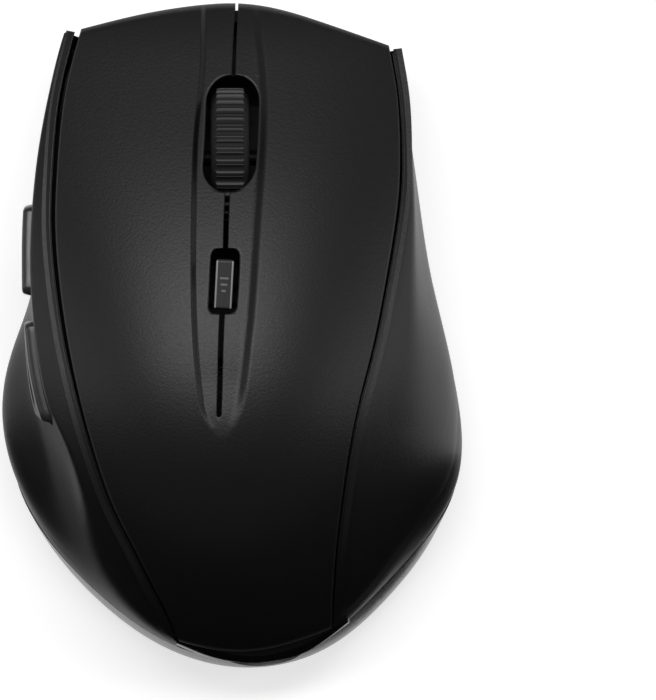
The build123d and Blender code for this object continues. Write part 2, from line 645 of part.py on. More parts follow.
with BuildPart() as capacitor:
    add(post(16, 18, BOARD_TOP, BOARD_TOP + 5.4, 2.5))
keep(capacitor, "capacitor")
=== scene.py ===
import math

import bmesh
import bpy
import numpy as np
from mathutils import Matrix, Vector


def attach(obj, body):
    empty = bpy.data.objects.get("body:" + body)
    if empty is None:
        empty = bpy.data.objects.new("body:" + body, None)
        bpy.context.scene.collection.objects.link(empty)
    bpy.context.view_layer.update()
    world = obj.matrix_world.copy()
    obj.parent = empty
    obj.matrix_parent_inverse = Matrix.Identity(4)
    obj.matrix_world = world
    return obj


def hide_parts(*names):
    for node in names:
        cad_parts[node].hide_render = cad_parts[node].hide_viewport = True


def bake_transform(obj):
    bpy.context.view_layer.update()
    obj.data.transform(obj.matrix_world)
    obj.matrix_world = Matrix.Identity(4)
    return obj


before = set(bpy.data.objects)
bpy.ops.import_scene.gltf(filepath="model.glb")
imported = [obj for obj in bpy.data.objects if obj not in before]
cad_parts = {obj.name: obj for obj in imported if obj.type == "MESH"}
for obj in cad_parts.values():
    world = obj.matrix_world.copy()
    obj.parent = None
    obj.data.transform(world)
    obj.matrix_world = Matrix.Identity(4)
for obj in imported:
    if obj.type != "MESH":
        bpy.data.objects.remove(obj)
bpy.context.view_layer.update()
MM = 0.001

# ------------------------------------------------------------------ plan and section lines, in mm
# X is to the right, Y to the front and Z up, as in the CAD frame.
# The widest line of the sides in plan, from the left front corner round the rear to the right front corner.
SIDE_LINE = np.array([
    (-27.4, 48.3), (-28.7, 43.0), (-30.9, 32.0), (-32.3, 20.0), (-32.8, 7.0),
    (-35.6, -3.5), (-36.9, -12.0), (-35.1, -22.0), (-30.2, -32.0), (-21.8, -42.0),
    (-10.5, -50.0), (2.0, -53.0), (14.0, -50.3), (24.5, -41.8), (32.0, -32.0),
    (35.9, -22.5), (36.6, -14.0), (34.6, -3.0), (31.7, 8.0), (29.7, 21.0),
    (28.3, 35.0), (27.0, 45.6),
])
# The front edge of the two keys.
TIP_LINE = np.array([
    (24.6, 46.3), (14.0, 50.0), (7.0, 52.1), (0.5, 53.0), (-6.5, 52.6), (-14.0, 51.4), (-24.3, 48.9),
])
# How far the wall stands in from SIDE_LINE: one row for each height in LEVELS, one column for each point.
LEVELS = [0.6, 4.5, 10.0, 19.0, 28.0, 44.0]
INSETS = np.array([
    [5.6, 4.2, 3.6, 3.5, 3.8, 5, 5.5, 5, 4.5, 4, 4, 4, 4, 4, 4.5, 5, 5.5, 5, 4, 3.6, 4.2, 5.6],
    [3.2, 2, 1.6, 1.6, 1.6, 1.8, 2, 1.6, 0.4, 0, 0, 0, 0, 0, 0.4, 1.6, 1.8, 1.6, 1.2, 1.3, 1.8, 3],
    [2, 1.2, 0.9, 0.9, 0.6, 0, 0, 0, 0.3, 0.7, 0.8, 1, 1.4, 1.6, 1, 0, 0, 0, 0, 0.2, 0.9, 1.8],
    [0, 0.2, 0.3, 0.5, 1, 4, 5.8, 6, 4.3, 2.8, 2, 2.5, 3, 3.5, 4.5, 4, 3.8, 2.6, 1.6, 0.8, 0.4, 0],
    [0, 0, 0, 0, 0.5, 4.8, 7.6, 9, 7.8, 5.2, 4, 4, 5, 6.5, 8.5, 9, 8.5, 6.8, 4, 1.6, 0.4, 0],
    [0, 0, 0, 0, 1, 5.5, 9, 11, 10, 8, 6, 6, 7, 9, 11, 11.5, 10.5, 8.5, 5.5, 2.5, 0.6, 0],
])
# The top along the middle: y, height, and how far it has fallen at CROWN_REACH to a side.
CROWN = np.array([
    (58, 13.0, 4.5), (53, 16.6, 5), (42, 22.3, 5.6), (28, 28.6, 6.8), (14, 33.9, 8.2),
    (0, 37.8, 9.6), (-12, 39.5, 10.8), (-22, 38.6, 12), (-31, 35.2, 13.6),
    (-39, 29.4, 15.6), (-45, 22.6, 17.4), (-49.5, 15.2, 19), (-53, 7, 20.5), (-56, -2, 22),
])[::-1]
# The grooves between the top cover and the side shells.
GROOVE_LEFT = np.array([
    (-23.6, 53.0), (-24.8, 48.4), (-26.9, 40), (-27.9, 33.3), (-28.5, 25.5), (-28.75, 18.5),
    (-28.2, 9.5), (-26.9, 0), (-25.1, -8.8), (-23.2, -16), (-21.2, -22.3), (-18.8, -28.4),
    (-15.9, -34.1), (-13.1, -39.7), (-10.6, -44.6), (-8.9, -48.9), (-8.2, -51),
])
GROOVE_RIGHT = np.array([
    (23.9, 53.0), (25.0, 45.6), (26.2, 38.3), (26.65, 30), (26.5, 23), (25.9, 17.7), (24.2, 7.4),
    (22.2, -2.5), (20.2, -10.3), (18.4, -18.8), (17.2, -26.9), (16.4, -33.5), (15.9, -40.3),
    (15.65, -46.7), (15.6, -50),
])
# The rear edge of the top cover.
TAIL = np.array([
    (-10.5, -48.2), (-8.6, -48.8), (-4.8, -49.8), (1.5, -50.4), (6.7, -49.7), (11.4, -48.3), (15.6, -46.6),
    (17, -45.8),
])
# The slit between the keys, and the two edges of the shallow channel that it runs in.
SLIT = np.array([
    (-2.5, -16), (-2.35, -13), (-1.85, 2.9), (-1.5, 8.5), (-1.0, 22.5), (-0.6, 28), (0.0, 43), (0.3, 50),
    (0.5, 54),
])
CHANNEL_LEFT = np.array([
    (-3.6, -14.8), (-4.8, -12.6), (-5.5, -9.5), (-6.2, -2.5), (-6.6, 8.7), (-6.6, 15), (-6.5, 22),
    (-6.1, 33), (-5.2, 42), (-5.1, 48.4), (-5.0, 56),
])
CHANNEL_RIGHT = np.array([
    (-0.1, -14.8), (0.9, -12.4), (1.6, -9.5), (2.5, -2.5), (3.3, 5.5), (4.1, 18.2), (4.9, 29.3),
    (4.9, 40.5), (4.1, 48.4), (3.6, 56),
])
# Height of the seam between the base and the side shells, as y and z.
SEAM = np.array([(-60, 10.6), (-47, 10.5), (-38, 10.0), (-27, 8.2), (-15, 5.8), (10, 5.2), (60, 5.0)])
KEY_ROOT_Y, ROOT_Z, BEND_LENGTH = -13.0, 38.6, 3.0
WHEEL = Vector((-0.6, 28.0, 19.4))


class Smooth:
    """A cubic spline, x rising. Its ends are straight, or bend on as the last four points do."""

    def __init__(self, x, y, bend_on=False):
        self.x = np.asarray(x, float)
        self.y = np.asarray(y, float)
        n = len(self.x)
        h = np.diff(self.x)
        rise = np.diff(self.y) / h
        a = np.eye(n)
        b = np.zeros(n)
        for i in range(1, n - 1):
            a[i, i - 1 : i + 2] = h[i - 1], 2 * (h[i - 1] + h[i]), h[i]
            b[i] = 6 * (rise[i] - rise[i - 1])
        if bend_on:
            first = np.polyder(np.polyfit(self.x[:4], self.y[:4], 3))
            last = np.polyder(np.polyfit(self.x[-4:], self.y[-4:], 3))
            a[0, :2] = 2 * h[0], h[0]
            b[0] = 6 * (rise[0] - np.polyval(first, self.x[0]))
            a[-1, -2:] = h[-1], 2 * h[-1]
            b[-1] = 6 * (np.polyval(last, self.x[-1]) - rise[-1])
        self.m = np.linalg.solve(a, b)

    def __call__(self, v):
        v = np.asarray(v, float)
        i = np.clip(np.searchsorted(self.x, v) - 1, 0, len(self.x) - 2)
        h = self.x[i + 1] - self.x[i]
        p, q = (self.x[i + 1] - v) / h, (v - self.x[i]) / h
        bend = (p**3 - p) * self.m[i] + (q**3 - q) * self.m[i + 1]
        return p * self.y[i] + q * self.y[i + 1] + bend * h**2 / 6


class Line:
    """A smooth open line through points, by its share of length from 0 to 1."""

    def __init__(self, points, bend_on=False):
        step = np.hypot(*np.diff(points, axis=0).T)
        s = np.concatenate([[0], np.cumsum(step)])
        self.knots = s / s[-1]
        self.fx = Smooth(self.knots, points[:, 0], bend_on)
        self.fy = Smooth(self.knots, points[:, 1], bend_on)

    def __call__(self, t):
        return np.stack([self.fx(t), self.fy(t)], -1)

    def inward(self, t):
        """Unit vectors to the left of the line's direction."""
        d = (self(np.asarray(t) + 1e-3) - self(np.asarray(t) - 1e-3)) / 2e-3
        d /= np.linalg.norm(d, axis=-1, keepdims=True)
        return np.stack([-d[..., 1], d[..., 0]], -1)


def steps(v, a, b):
    """Smooth 0 to 1 as v goes from a to b."""
    t = np.clip((np.asarray(v, float) - a) / (b - a), 0, 1)
    return t * t * (3 - 2 * t)


def by_y(points):
    """A spline that gives x for y."""
    order = np.argsort(points[:, 1])
    return Smooth(points[order, 1], points[order, 0])


crown_h, crown_d = Smooth(CROWN[:, 0], CROWN[:, 1]), Smooth(CROWN[:, 0], CROWN[:, 2])
groove_left, groove_right = by_y(GROOVE_LEFT), by_y(GROOVE_RIGHT)
slit_x = by_y(SLIT)
channel_left, channel_right = by_y(CHANNEL_LEFT), by_y(CHANNEL_RIGHT)
tail_y = Smooth(TAIL[:, 0], TAIL[:, 1])
tip_points = TIP_LINE[::-1]
tip_y = Smooth(tip_points[:, 0], tip_points[:, 1])
seam_points = Line(SEAM, bend_on=True)(np.linspace(0, 1, 600))
side_line = Line(SIDE_LINE)
inset_along = [Smooth(side_line.knots, row) for row in INSETS]
CROWN_X, CROWN_REACH, CROWN_TILT = -1.0, 28.0, 0.04
COVER_SINK = 0.04  # keeps the skins just under the top of the solids' box


def seam_z(y):
    """Height of the seam over the base."""
    return np.interp(y, seam_points[:, 0], seam_points[:, 1])


def crown(x, y):
    """Height of the top, before its channel and its rounded edges."""
    off = x - CROWN_X
    return crown_h(y) - crown_d(y) * (off / CROWN_REACH) ** 2 - CROWN_TILT * off - COVER_SINK


def pchip(x, rows, v):
    """Shape-preserving cubic through rows (one per x) at v, for arrays of rows and v."""
    x = np.asarray(x, float)
    rows = np.asarray(rows, float)
    h = np.diff(x)[:, None]
    d = np.diff(rows, axis=0) / h
    m = np.zeros_like(rows)
    same = d[:-1] * d[1:] > 0
    w1, w2 = 2 * h[1:] + h[:-1], h[1:] + 2 * h[:-1]
    with np.errstate(divide="ignore", invalid="ignore"):
        inner = (w1 + w2) / (w1 / d[:-1] + w2 / d[1:])
    m[1:-1] = np.where(same, inner, 0)
    m[0], m[-1] = d[0], d[-1]
    k = np.clip(np.searchsorted(x, v) - 1, 0, len(x) - 2)
    c = np.arange(rows.shape[1])
    hk = h[k, 0]
    t = np.clip((v - x[k]) / hk, 0, 1)
    return (
        (2 * t**3 - 3 * t**2 + 1) * rows[k, c] + (t**3 - 2 * t**2 + t) * hk * m[k, c]
        + (3 * t**2 - 2 * t**3) * rows[k + 1, c] + (t**3 - t**2) * hk * m[k + 1, c]
    )


def wall(t, z):
    """Points of the casing's side wall at shares t of the side line and heights z."""
    t, z = np.broadcast_arrays(np.asarray(t, float), np.asarray(z, float))
    flat_t, flat_z = t.ravel(), z.ravel()
    rows = np.array([f(flat_t) for f in inset_along])
    inset = pchip(LEVELS, rows, flat_z)
    xy = side_line(flat_t) + side_line.inward(flat_t) * inset[:, None]
    return np.concatenate([xy, flat_z[:, None]], 1).reshape(t.shape + (3,))


# ------------------------------------------------------------------ mesh helpers
def make(name, verts, faces, body, material, smooth_angle=38):
    """A mesh object from mm vertices and faces, riding on a body."""
    mesh = bpy.data.meshes.new(name)
    mesh.from_pydata((np.asarray(verts) * MM).tolist(), [], [tuple(int(i) for i in f) for f in faces])
    mesh.validate()
    mesh.update()
    mesh.polygons.foreach_set("use_smooth", [True] * len(mesh.polygons))
    mesh.set_sharp_from_angle(angle=math.radians(smooth_angle))
    obj = bpy.data.objects.new(name, mesh)
    bpy.context.scene.collection.objects.link(obj)
    mesh.materials.append(material)
    if body:
        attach(obj, body)
    return obj


def paint_edge_highlight(obj, values):
    """Gives each vertex its share of the painted highlight colour, in the attribute 'edge'."""
    layer = obj.data.attributes.new("edge", "FLOAT", "POINT")
    layer.data.foreach_set("value", np.asarray(values, float).ravel())


def grid_faces(rows, cols, start=0, close_rows=False, close_cols=False):
    """Quads of a rows by cols grid of vertices."""
    i = np.arange(rows if close_rows else rows - 1)
    j = np.arange(cols if close_cols else cols - 1)
    i, j = np.meshgrid(i, j, indexing="ij")
    i2, j2 = (i + 1) % rows, (j + 1) % cols
    quad = np.stack([i * cols + j, i * cols + j2, i2 * cols + j2, i2 * cols + j], -1)
    return (quad.reshape(-1, 4) + start).tolist()


def closed_sheet(outer, inner, flip=False):
    """Vertices and faces of the closed solid between two equal grids of points."""
    rows, cols = outer.shape[:2]
    n = rows * cols
    verts = np.concatenate([outer.reshape(-1, 3), inner.reshape(-1, 3)])
    faces = grid_faces(rows, cols)
    faces += [f[::-1] for f in grid_faces(rows, cols, n)]
    ring = list(range(cols))
    ring += [i * cols + cols - 1 for i in range(1, rows)]
    ring += [(rows - 1) * cols + j for j in range(cols - 2, -1, -1)]
    ring += [i * cols for i in range(rows - 2, 0, -1)]
    for a, b in zip(ring, ring[1:] + ring[:1]):
        faces.append([b, a, a + n, b + n])
    if flip:
        faces = [f[::-1] for f in faces]
    return verts, faces


def at_height(points, z):
    """Plan points lifted to one height."""
    return np.column_stack([points, np.full(len(points), z)])


def closed_stack(layers):
    """Vertices and faces of the closed solid through equal rings of points."""
    n = len(layers[0])
    faces = grid_faces(len(layers), n, close_cols=True)
    faces += [list(range(n))[::-1], [(len(layers) - 1) * n + j for j in range(n)]]
    return np.concatenate(layers), faces


def grid_normals(p):
    """Unit normals of a grid of points."""
    du = np.gradient(p, axis=0)
    dv = np.gradient(p, axis=1)
    n = np.cross(du, dv)
    return n / np.maximum(np.linalg.norm(n, axis=-1, keepdims=True), 1e-9)


def bowl(d, r):
    """How far a rounded edge of radius r has dropped at distance d from its rim."""
    d = np.clip(d, 0, r)
    return r - np.sqrt(np.maximum(r * r - (r - d) ** 2, 0))


# ------------------------------------------------------------------ materials
def material(
    name, colour, rough, grain=0.0, grain_size=0.25, metal=0.0, mottle=0.06, coat=0.0, spec=0.5,
    streak=None, edge=None,
):
    """A painted or moulded surface: slow mottling, uneven gloss and a fine grain, and where edge is given, a
    painted highlight colour mixed in at marked vertices.
    """
    mat = bpy.data.materials.new(name)
    mat.use_nodes = True
    nodes, links = mat.node_tree.nodes, mat.node_tree.links
    shader = nodes["Principled BSDF"]
    shader.inputs["Metallic"].default_value = metal
    shader.inputs["Specular IOR Level"].default_value = spec
    shader.inputs["Coat Weight"].default_value = coat
    shader.inputs["Coat Roughness"].default_value = 0.12
    place = nodes.new("ShaderNodeTexCoord")
    slow = nodes.new("ShaderNodeTexNoise")
    slow.inputs["Scale"].default_value = 70
    slow.inputs["Detail"].default_value = 5
    links.new(place.outputs["Object"], slow.inputs["Vector"])
    ramp = nodes.new("ShaderNodeValToRGB")
    low = [c * (1 - mottle) for c in colour]
    high = [min(1, c * (1 + mottle)) for c in colour]
    ramp.color_ramp.elements[0].position = 0.35
    ramp.color_ramp.elements[0].color = (*low, 1)
    ramp.color_ramp.elements[1].position = 0.65
    ramp.color_ramp.elements[1].color = (*high, 1)
    links.new(slow.outputs["Fac"], ramp.inputs["Fac"])
    # edge is the colour of a painted highlight, mixed in by the vertex attribute 'edge'.
    if edge:
        highlight_mask = nodes.new("ShaderNodeAttribute")
        highlight_mask.attribute_name = "edge"
        mix = nodes.new("ShaderNodeMix")
        mix.data_type = "RGBA"
        mix.inputs["B"].default_value = (*edge, 1)
        links.new(highlight_mask.outputs["Fac"], mix.inputs["Factor"])
        links.new(ramp.outputs["Color"], mix.inputs["A"])
        links.new(mix.outputs["Result"], shader.inputs["Base Color"])
    else:
        links.new(ramp.outputs["Color"], shader.inputs["Base Color"])
    fine = nodes.new("ShaderNodeTexNoise")
    fine.inputs["Scale"].default_value = 1000 / grain_size * 0.5
    fine.inputs["Detail"].default_value = 3
    if streak:
        squash = nodes.new("ShaderNodeMapping")
        squash.inputs["Scale"].default_value = streak
        links.new(place.outputs["Object"], squash.inputs["Vector"])
        links.new(squash.outputs["Vector"], fine.inputs["Vector"])
    else:
        links.new(place.outputs["Object"], fine.inputs["Vector"])
    gloss = nodes.new("ShaderNodeMapRange")
    gloss.inputs["To Min"].default_value = max(0.02, rough - 0.05)
    gloss.inputs["To Max"].default_value = min(1, rough + 0.05)
    links.new(fine.outputs["Fac"], gloss.inputs["Value"])
    links.new(gloss.outputs["Result"], shader.inputs["Roughness"])
    bump = nodes.new("ShaderNodeBump")
    bump.inputs["Strength"].default_value = grain
    bump.inputs["Distance"].default_value = 0.00003
    links.new(fine.outputs["Fac"], bump.inputs["Height"])
    links.new(bump.outputs["Normal"], shader.inputs["Normal"])
    return mat


# edge is a painted highlight colour for the cover's lips.
soft = material(
    "soft_touch_coat", (0.0045, 0.0045, 0.0048), 0.40, grain=0.9, grain_size=0.22, mottle=0.05, spec=0.3,
    edge=(0.045, 0.045, 0.046),
)
rim = material("satin_base", (0.012, 0.012, 0.013), 0.22, grain=0.15, grain_size=0.4, spec=0.9)
piano = material("gloss_black", (0.003, 0.003, 0.003), 0.12, grain=0.03, spec=0.15)
inner_black = material("frame_black", (0.003, 0.003, 0.003), 0.5, grain=0.3, spec=0.15)
# edge is a painted highlight on the button's long top edges.
button_satin = material(
    "button_satin", (0.009, 0.009, 0.010), 0.42, grain=0.2, grain_size=0.3, edge=(0.34, 0.34, 0.35)
)
thumb_gloss = material("thumb_gloss", (0.016, 0.016, 0.017), 0.3, grain=0.1, grain_size=0.4)
# edge is a painted highlight on the flanks of the tyre's ribs.
rubber = material(
    "wheel_rubber", (0.004, 0.004, 0.0045), 0.6, grain=0.6, grain_size=0.3, spec=0.2, edge=(0.07, 0.07, 0.072)
)
wheel_core = material("wheel_plastic", (0.004, 0.004, 0.0045), 0.5, grain=0.2, spec=0.2)
paint = material("glyph_paint", (0.13, 0.13, 0.135), 0.5, grain=0.3)
slip = material("slip_pad", (0.012, 0.012, 0.013), 0.42, grain=0.4, grain_size=0.5)
steel = material("steel", (0.55, 0.55, 0.56), 0.3, grain=0.3, metal=1.0, mottle=0.03, streak=(1, 8, 1))
gilt = material("gilt", (0.75, 0.53, 0.22), 0.25, grain=0.2, metal=1.0, mottle=0.04)
board = material("circuit_board", (0.004, 0.012, 0.007), 0.4, grain=0.5, grain_size=0.8, mottle=0.3)
chip = material("chip_plastic", (0.015, 0.015, 0.017), 0.5, grain=0.6, grain_size=0.3)
switch_black = material("switch_plastic", (0.03, 0.03, 0.034), 0.45, grain=0.4)
plunger_dark = material("plunger_plastic", (0.02, 0.02, 0.022), 0.4, grain=0.2)
lens_clear = material("lens_plastic", (0.10, 0.10, 0.12), 0.08, grain=0.02, coat=0.5)
can = material("aluminium_can", (0.6, 0.6, 0.62), 0.35, grain=0.3, metal=1.0, streak=(1, 1, 12))
jacket = material("cell_jacket", (0.06, 0.09, 0.16), 0.35, grain=0.2, coat=0.3, mottle=0.1)
slider_grey = material("slider_plastic", (0.10, 0.10, 0.105), 0.5, grain=0.3)
tongue_white = material("tongue_plastic", (0.75, 0.75, 0.73), 0.5, grain=0.2)

# ------------------------------------------------------------------ top cover
SLOT_Y, SLOT_STRAIGHT, SLOT_R = 31.9, 5.15, 4.15
DPI_Y, DPI_HALF_W, DPI_HALF_L, DPI_CORNER = 8.45, 2.25, 5.15, 1.2
SLIT_HALF, SLIT_HALF_FRONT = 0.34, 0.22
GAP_GROWS = (-38, 5)  # the stretch of y over which the grooves widen


def slit_half(y):
    """Half the width of the slit, which is finer in front of the wheel."""
    return SLIT_HALF + (SLIT_HALF_FRONT - SLIT_HALF) * steps(y, 38, 43)


def cut_half(y):
    """Half the width of the opening along the middle at y: slit, wheel slot, button slot."""
    y = np.asarray(y, float)
    from_end = np.clip((y - KEY_ROOT_Y) / SLIT_HALF, 0, 1)
    w = np.where(y < 0, SLIT_HALF * np.sqrt(1 - (1 - from_end) ** 2), slit_half(y))
    reach = np.maximum(np.abs(y - SLOT_Y) - SLOT_STRAIGHT, 0)
    w = np.maximum(w, np.sqrt(np.maximum(SLOT_R**2 - reach**2, 0)))
    near = np.abs(y - DPI_Y)
    corner = np.clip(near - (DPI_HALF_L - DPI_CORNER), 0, DPI_CORNER)
    round_off = np.sqrt(np.maximum(DPI_CORNER**2 - corner**2, 0))
    return np.maximum(w, np.where(near <= DPI_HALF_L, DPI_HALF_W - DPI_CORNER + round_off, 0))


def cut_distance(x, y):
    """Distance in plan to the nearest edge of the opening along the middle."""
    u = np.abs(x - slit_x(y))
    slit = np.hypot(u, np.maximum(KEY_ROOT_Y + SLIT_HALF - y, 0)) - slit_half(y)
    slot = np.hypot(u, np.maximum(np.abs(y - SLOT_Y) - SLOT_STRAIGHT, 0)) - SLOT_R
    du = np.maximum(u - DPI_HALF_W + DPI_CORNER, 0)
    dv = np.maximum(np.abs(y - DPI_Y) - DPI_HALF_L + DPI_CORNER, 0)
    dpi = np.hypot(du, dv) - DPI_CORNER
    return np.maximum(np.minimum(np.minimum(slit, slot), dpi), 0)


def gap_left(y):
    """Half the width of the left groove, which narrows towards the rear."""
    return 0.16 + 0.22 * steps(y, *GAP_GROWS)


def gap_right(y):
    """Half the width of the right groove."""
    return 0.13 + 0.13 * steps(y, *GAP_GROWS)


def across(line, x, y, step=0.05):
    """Distance in plan to the right of a line given as x over y."""
    slope = (line(y + step) - line(y - step)) / (2 * step)
    return (x - line(y)) / np.hypot(1, slope)


CHANNEL_END, CHANNEL_DEEP = -14.8, 0.85
CHANNEL_END_X, CHANNEL_END_R = -1.85, 1.75


def channel_drop(x, y):
    """Depth of the channel along the middle."""
    yc = np.maximum(y, CHANNEL_END)
    inside_left = across(channel_left, x, yc)
    inside_right = -across(channel_right, x, yc)
    behind = np.maximum(CHANNEL_END - y, 0) * 0.9
    round_end = CHANNEL_END_R - np.hypot(x - CHANNEL_END_X, behind)
    signed_left = np.where(y > CHANNEL_END, inside_left, round_end)
    signed_right = np.where(y > CHANNEL_END, inside_right, round_end)
    drop = steps(signed_left, -0.35, 0.75) * steps(signed_right, -0.6, 1.3)
    return CHANNEL_DEEP * drop * steps(y, -17.5, -6.0)


# Radii of the rounded edges.
LIP, SLIT_LIP, GROOVE_LIP, TAIL_LIP, SEAM_LIP, TIP_ROUND = 0.34, 0.2, 0.26, 0.3, 0.22, 1.1


def painted_lip_highlight(x, y, front):
    """How much of the lighter edge colour, a painted highlight, the lips of the cover show."""
    d_cut = cut_distance(x, y)
    d_left = across(groove_left, x, y) - gap_left(y)
    d_right = -across(groove_right, x, y) - gap_right(y)
    slot = steps(cut_half(y), 0.6, 2.5) * (1 - steps(np.abs(d_cut - 0.2), 0.06, 0.22)) * 0.6
    groove = (1 - steps(np.abs(d_left - 0.12), 0.04, 0.22)) * 0.45 * steps(y, -48, -20)
    groove = np.maximum(groove, (1 - steps(np.abs(d_right - 0.12), 0.04, 0.2)) * 0.15)
    light = np.maximum(slot, groove)
    if not front:
        light = np.maximum(light, (1 - steps(np.abs(y - tail_y(x) - 0.14), 0.05, 0.22)) * 0.7)
    return light


def cover_height(x, y, front):
    """Height of the top cover with its channel and its rounded edges."""
    z = crown(x, y) - channel_drop(x, y)
    wide = steps(cut_half(y), 0.5, 1.2)
    r = SLIT_LIP + (LIP - SLIT_LIP) * wide
    z = z - bowl(cut_distance(x, y), r)
    d_left = across(groove_left, x, y) - gap_left(y)
    d_right = -across(groove_right, x, y) - gap_right(y)
    z = z - bowl(np.minimum(d_left, d_right), GROOVE_LIP)
    if front:
        z = z - bowl((tip_y(x) - y) * 0.97, TIP_ROUND)
    else:
        z = z - bowl(y - tail_y(x), TAIL_LIP)
    return z


# A row of the cover: an edge, the face, the channel's side, the channel's floor and the other edge.
EDGE = np.array([0, 0.012, 0.04, 0.08, 0.13, 0.19, 0.26, 0.34, 0.5])
SPREAD = (44, 14, 6)
COLUMNS = len(EDGE) + sum(SPREAD) + len(EDGE) - 1


def column_x(edge, chan, cut, s):
    """Column positions from the groove's edge to the middle; s is 1 on the left, -1 on the right."""
    reach = (cut - edge) * s
    k = np.minimum(1, reach / 3.0)
    c1 = chan + 0.8 * s
    e0, e1 = edge + 0.5 * s * k, cut - 0.5 * s * k
    c1 = np.where((e1 - c1) * s < 0.15, e1 - 0.15 * s, c1)
    c0 = np.minimum(chan * s - 1.0, c1 * s - 1.0) * s
    x = np.empty_like(edge)
    at = len(EDGE)
    x[..., :at] = edge[..., :at] + EDGE * s * k[..., :at]
    for start, end, count in zip((e0, c0, c1), (c0, c1, e1), SPREAD):
        part = slice(at, at + count)
        x[..., part] = start[..., part] + (end - start)[..., part] * np.linspace(0, 1, count + 1)[1:]
        at += count
    x[..., at:] = cut[..., at:] - EDGE[::-1][1:] * s * k[..., at:]
    return x


def slot_rows(centre, half, r):
    """Row positions that close in on the two ends of a slot."""
    lip = np.array([0.03, 0.08, 0.15, 0.25, 0.36])
    bend = np.linspace(0.08, np.pi / 2, 15)
    out = [centre - half - lip, centre + half + lip]
    out += [centre - half + r * (1 - np.cos(bend)), centre + half - r * (1 - np.cos(bend))]
    out += [[centre - half - 0.0005, centre - half + 0.0005, centre + half - 0.0005, centre + half + 0.0005]]
    return out


def spread_rows(rows, step):
    """Sorts row positions and fills the wide spaces between them."""
    rows = np.unique(np.concatenate([np.asarray(r, float) for r in rows]))
    out = [rows[:1]]
    for a, b in zip(rows, rows[1:]):
        out.append(np.linspace(a, b, max(1, int(np.ceil((b - a) / step))) + 1)[1:])
    return np.concatenate(out)


TIP_Y, TIP_BEND = 53.0, 12.0  # the rows bend to the curved tip over the last TIP_BEND
key_y = spread_rows([
    KEY_ROOT_Y + np.array([0, 0.01, 0.04, 0.09, 0.16, 0.24, SLIT_HALF, 0.5]),
    *slot_rows(DPI_Y, DPI_HALF_L, DPI_CORNER), *slot_rows(SLOT_Y, SLOT_STRAIGHT + SLOT_R, SLOT_R),
    [43.0], TIP_Y - np.array([TIP_ROUND, 0.85, 0.65, 0.48, 0.34, 0.22, 0.13, 0.06, 0.02, 0]),
], 0.8)
TIP_BACK = 0.35  # how far the tips stand behind the front line


def tip_share(y):
    """How much a row at y follows the curved tip of the keys."""
    return np.clip((y - TIP_Y + TIP_BEND) / TIP_BEND, 0, 1) ** 1.5


def key_grid(side):
    """The plan grid of one key: rows from its root to its tip, columns from groove to middle."""
    if side < 0:
        groove, gap, chan = groove_left, gap_left, channel_left
    else:
        groove, gap, chan = groove_right, gap_right, channel_right
    base = np.repeat(key_y[:, None], COLUMNS, 1)
    y = base
    share = tip_share(base)
    for _ in range(5):
        edge = groove(y) - side * gap(y)
        middle = slit_x(y) + side * cut_half(y)
        x = column_x(edge, chan(np.maximum(y, CHANNEL_END)), middle, -side)
        y = base + share * (tip_y(x) - TIP_Y)
    return x, y - TIP_BACK * share


LIP_Z = 11.3  # the lower edge of the keys' front
# The tyre's outline, half width and radius, and the room that the keys leave round it.
TYRE_HALF = [0, 2.05, 2.35, 2.6, 2.85, 3.0, 3.3, 3.6]
TYRE_R = [11.2, 11.2, 10.7, 10.4, 10.0, 9.6, 9.0, 0]
WHEEL_CLEAR = 0.7
KEY_THICK, KEY_EDGE, KEY_THIN = 1.9, 0.8, 0.25  # at the crown, below the rounded edges, over the wheel
TIP_ROWS, UNDER_BACK = 14, 1.5  # the rows at the tip whose underside draws back, and how far
FRONT_LEAN, FRONT_TUCK = 0.35, 0.12


def wheel_top(x, y):
    """Height that the underside of a key keeps to over the wheel."""
    r = np.interp(np.abs(x - WHEEL.x), TYRE_HALF, TYRE_R) + WHEEL_CLEAR
    reach = np.abs(y - WHEEL.y)
    return np.where(reach <= r, WHEEL.z + np.sqrt(np.maximum(r**2 - reach**2, 0)), 0)


def key_skin(name, side, node):
    """A long key: its top, its front and its underside."""
    x, y = key_grid(side)
    z = cover_height(x, y + TIP_BACK * tip_share(y), True)
    outer = np.stack([x, y, z], -1)
    under_z = np.maximum(np.minimum(crown(x, y) - KEY_THICK, z - KEY_EDGE), wheel_top(x, y))
    under = np.stack([x, y, np.minimum(under_z, z - KEY_THIN)], -1)
    under[-TIP_ROWS:, :, 1] -= np.linspace(0, UNDER_BACK, TIP_ROWS)[:, None]
    tip, tip_under = outer[-1], under[-1]
    drop, drop_under = [], []
    for f in (0.03, 0.1, 0.3, 0.6, 0.9, 0.97, 1.0):
        row = tip.copy()
        row[:, 2] = tip[:, 2] + (LIP_Z - tip[:, 2]) * f
        row[:, 1] -= FRONT_LEAN * f**2 + (FRONT_TUCK if f == 1.0 else 0)
        drop.append(row)
        back = tip_under.copy()
        back[:, 2] = tip_under[:, 2] + (LIP_Z - tip_under[:, 2]) * f
        drop_under.append(back)
    outer = np.concatenate([outer, np.array(drop)])
    under = np.concatenate([under, np.array(drop_under)])
    verts, faces = closed_sheet(outer, under, flip=side > 0)
    obj = make(name, verts, faces, None, soft)
    # Painted highlight along the key's lips.
    light = np.zeros(outer.shape[:2])
    light[: len(y)] = painted_lip_highlight(x, y, True)
    paint_edge_highlight(obj, np.concatenate([light.ravel(), np.zeros(light.size)]))
    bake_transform(obj)
    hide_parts(node)


key_skin("left_key_cover", -1, "left_button")
key_skin("right_key_cover", 1, "right_button")

PALM_END, PALM_BEND_Y, PALM_THICK = -50.4, -34.0, 1.8
SLIT_LEFT_Y, PALM_DRIFT = -15.5, 2.0 / -35  # behind this y the middle column drifts off the slit's line
palm_rows = spread_rows([
    KEY_ROOT_Y - np.array([0, 0.01, 0.1, 0.4]), [CHANNEL_END, -17.5],
    PALM_END + np.array([0, 0.012, 0.04, 0.08, 0.13, 0.2, 0.3, 0.5]),
], 0.5)[::-1]


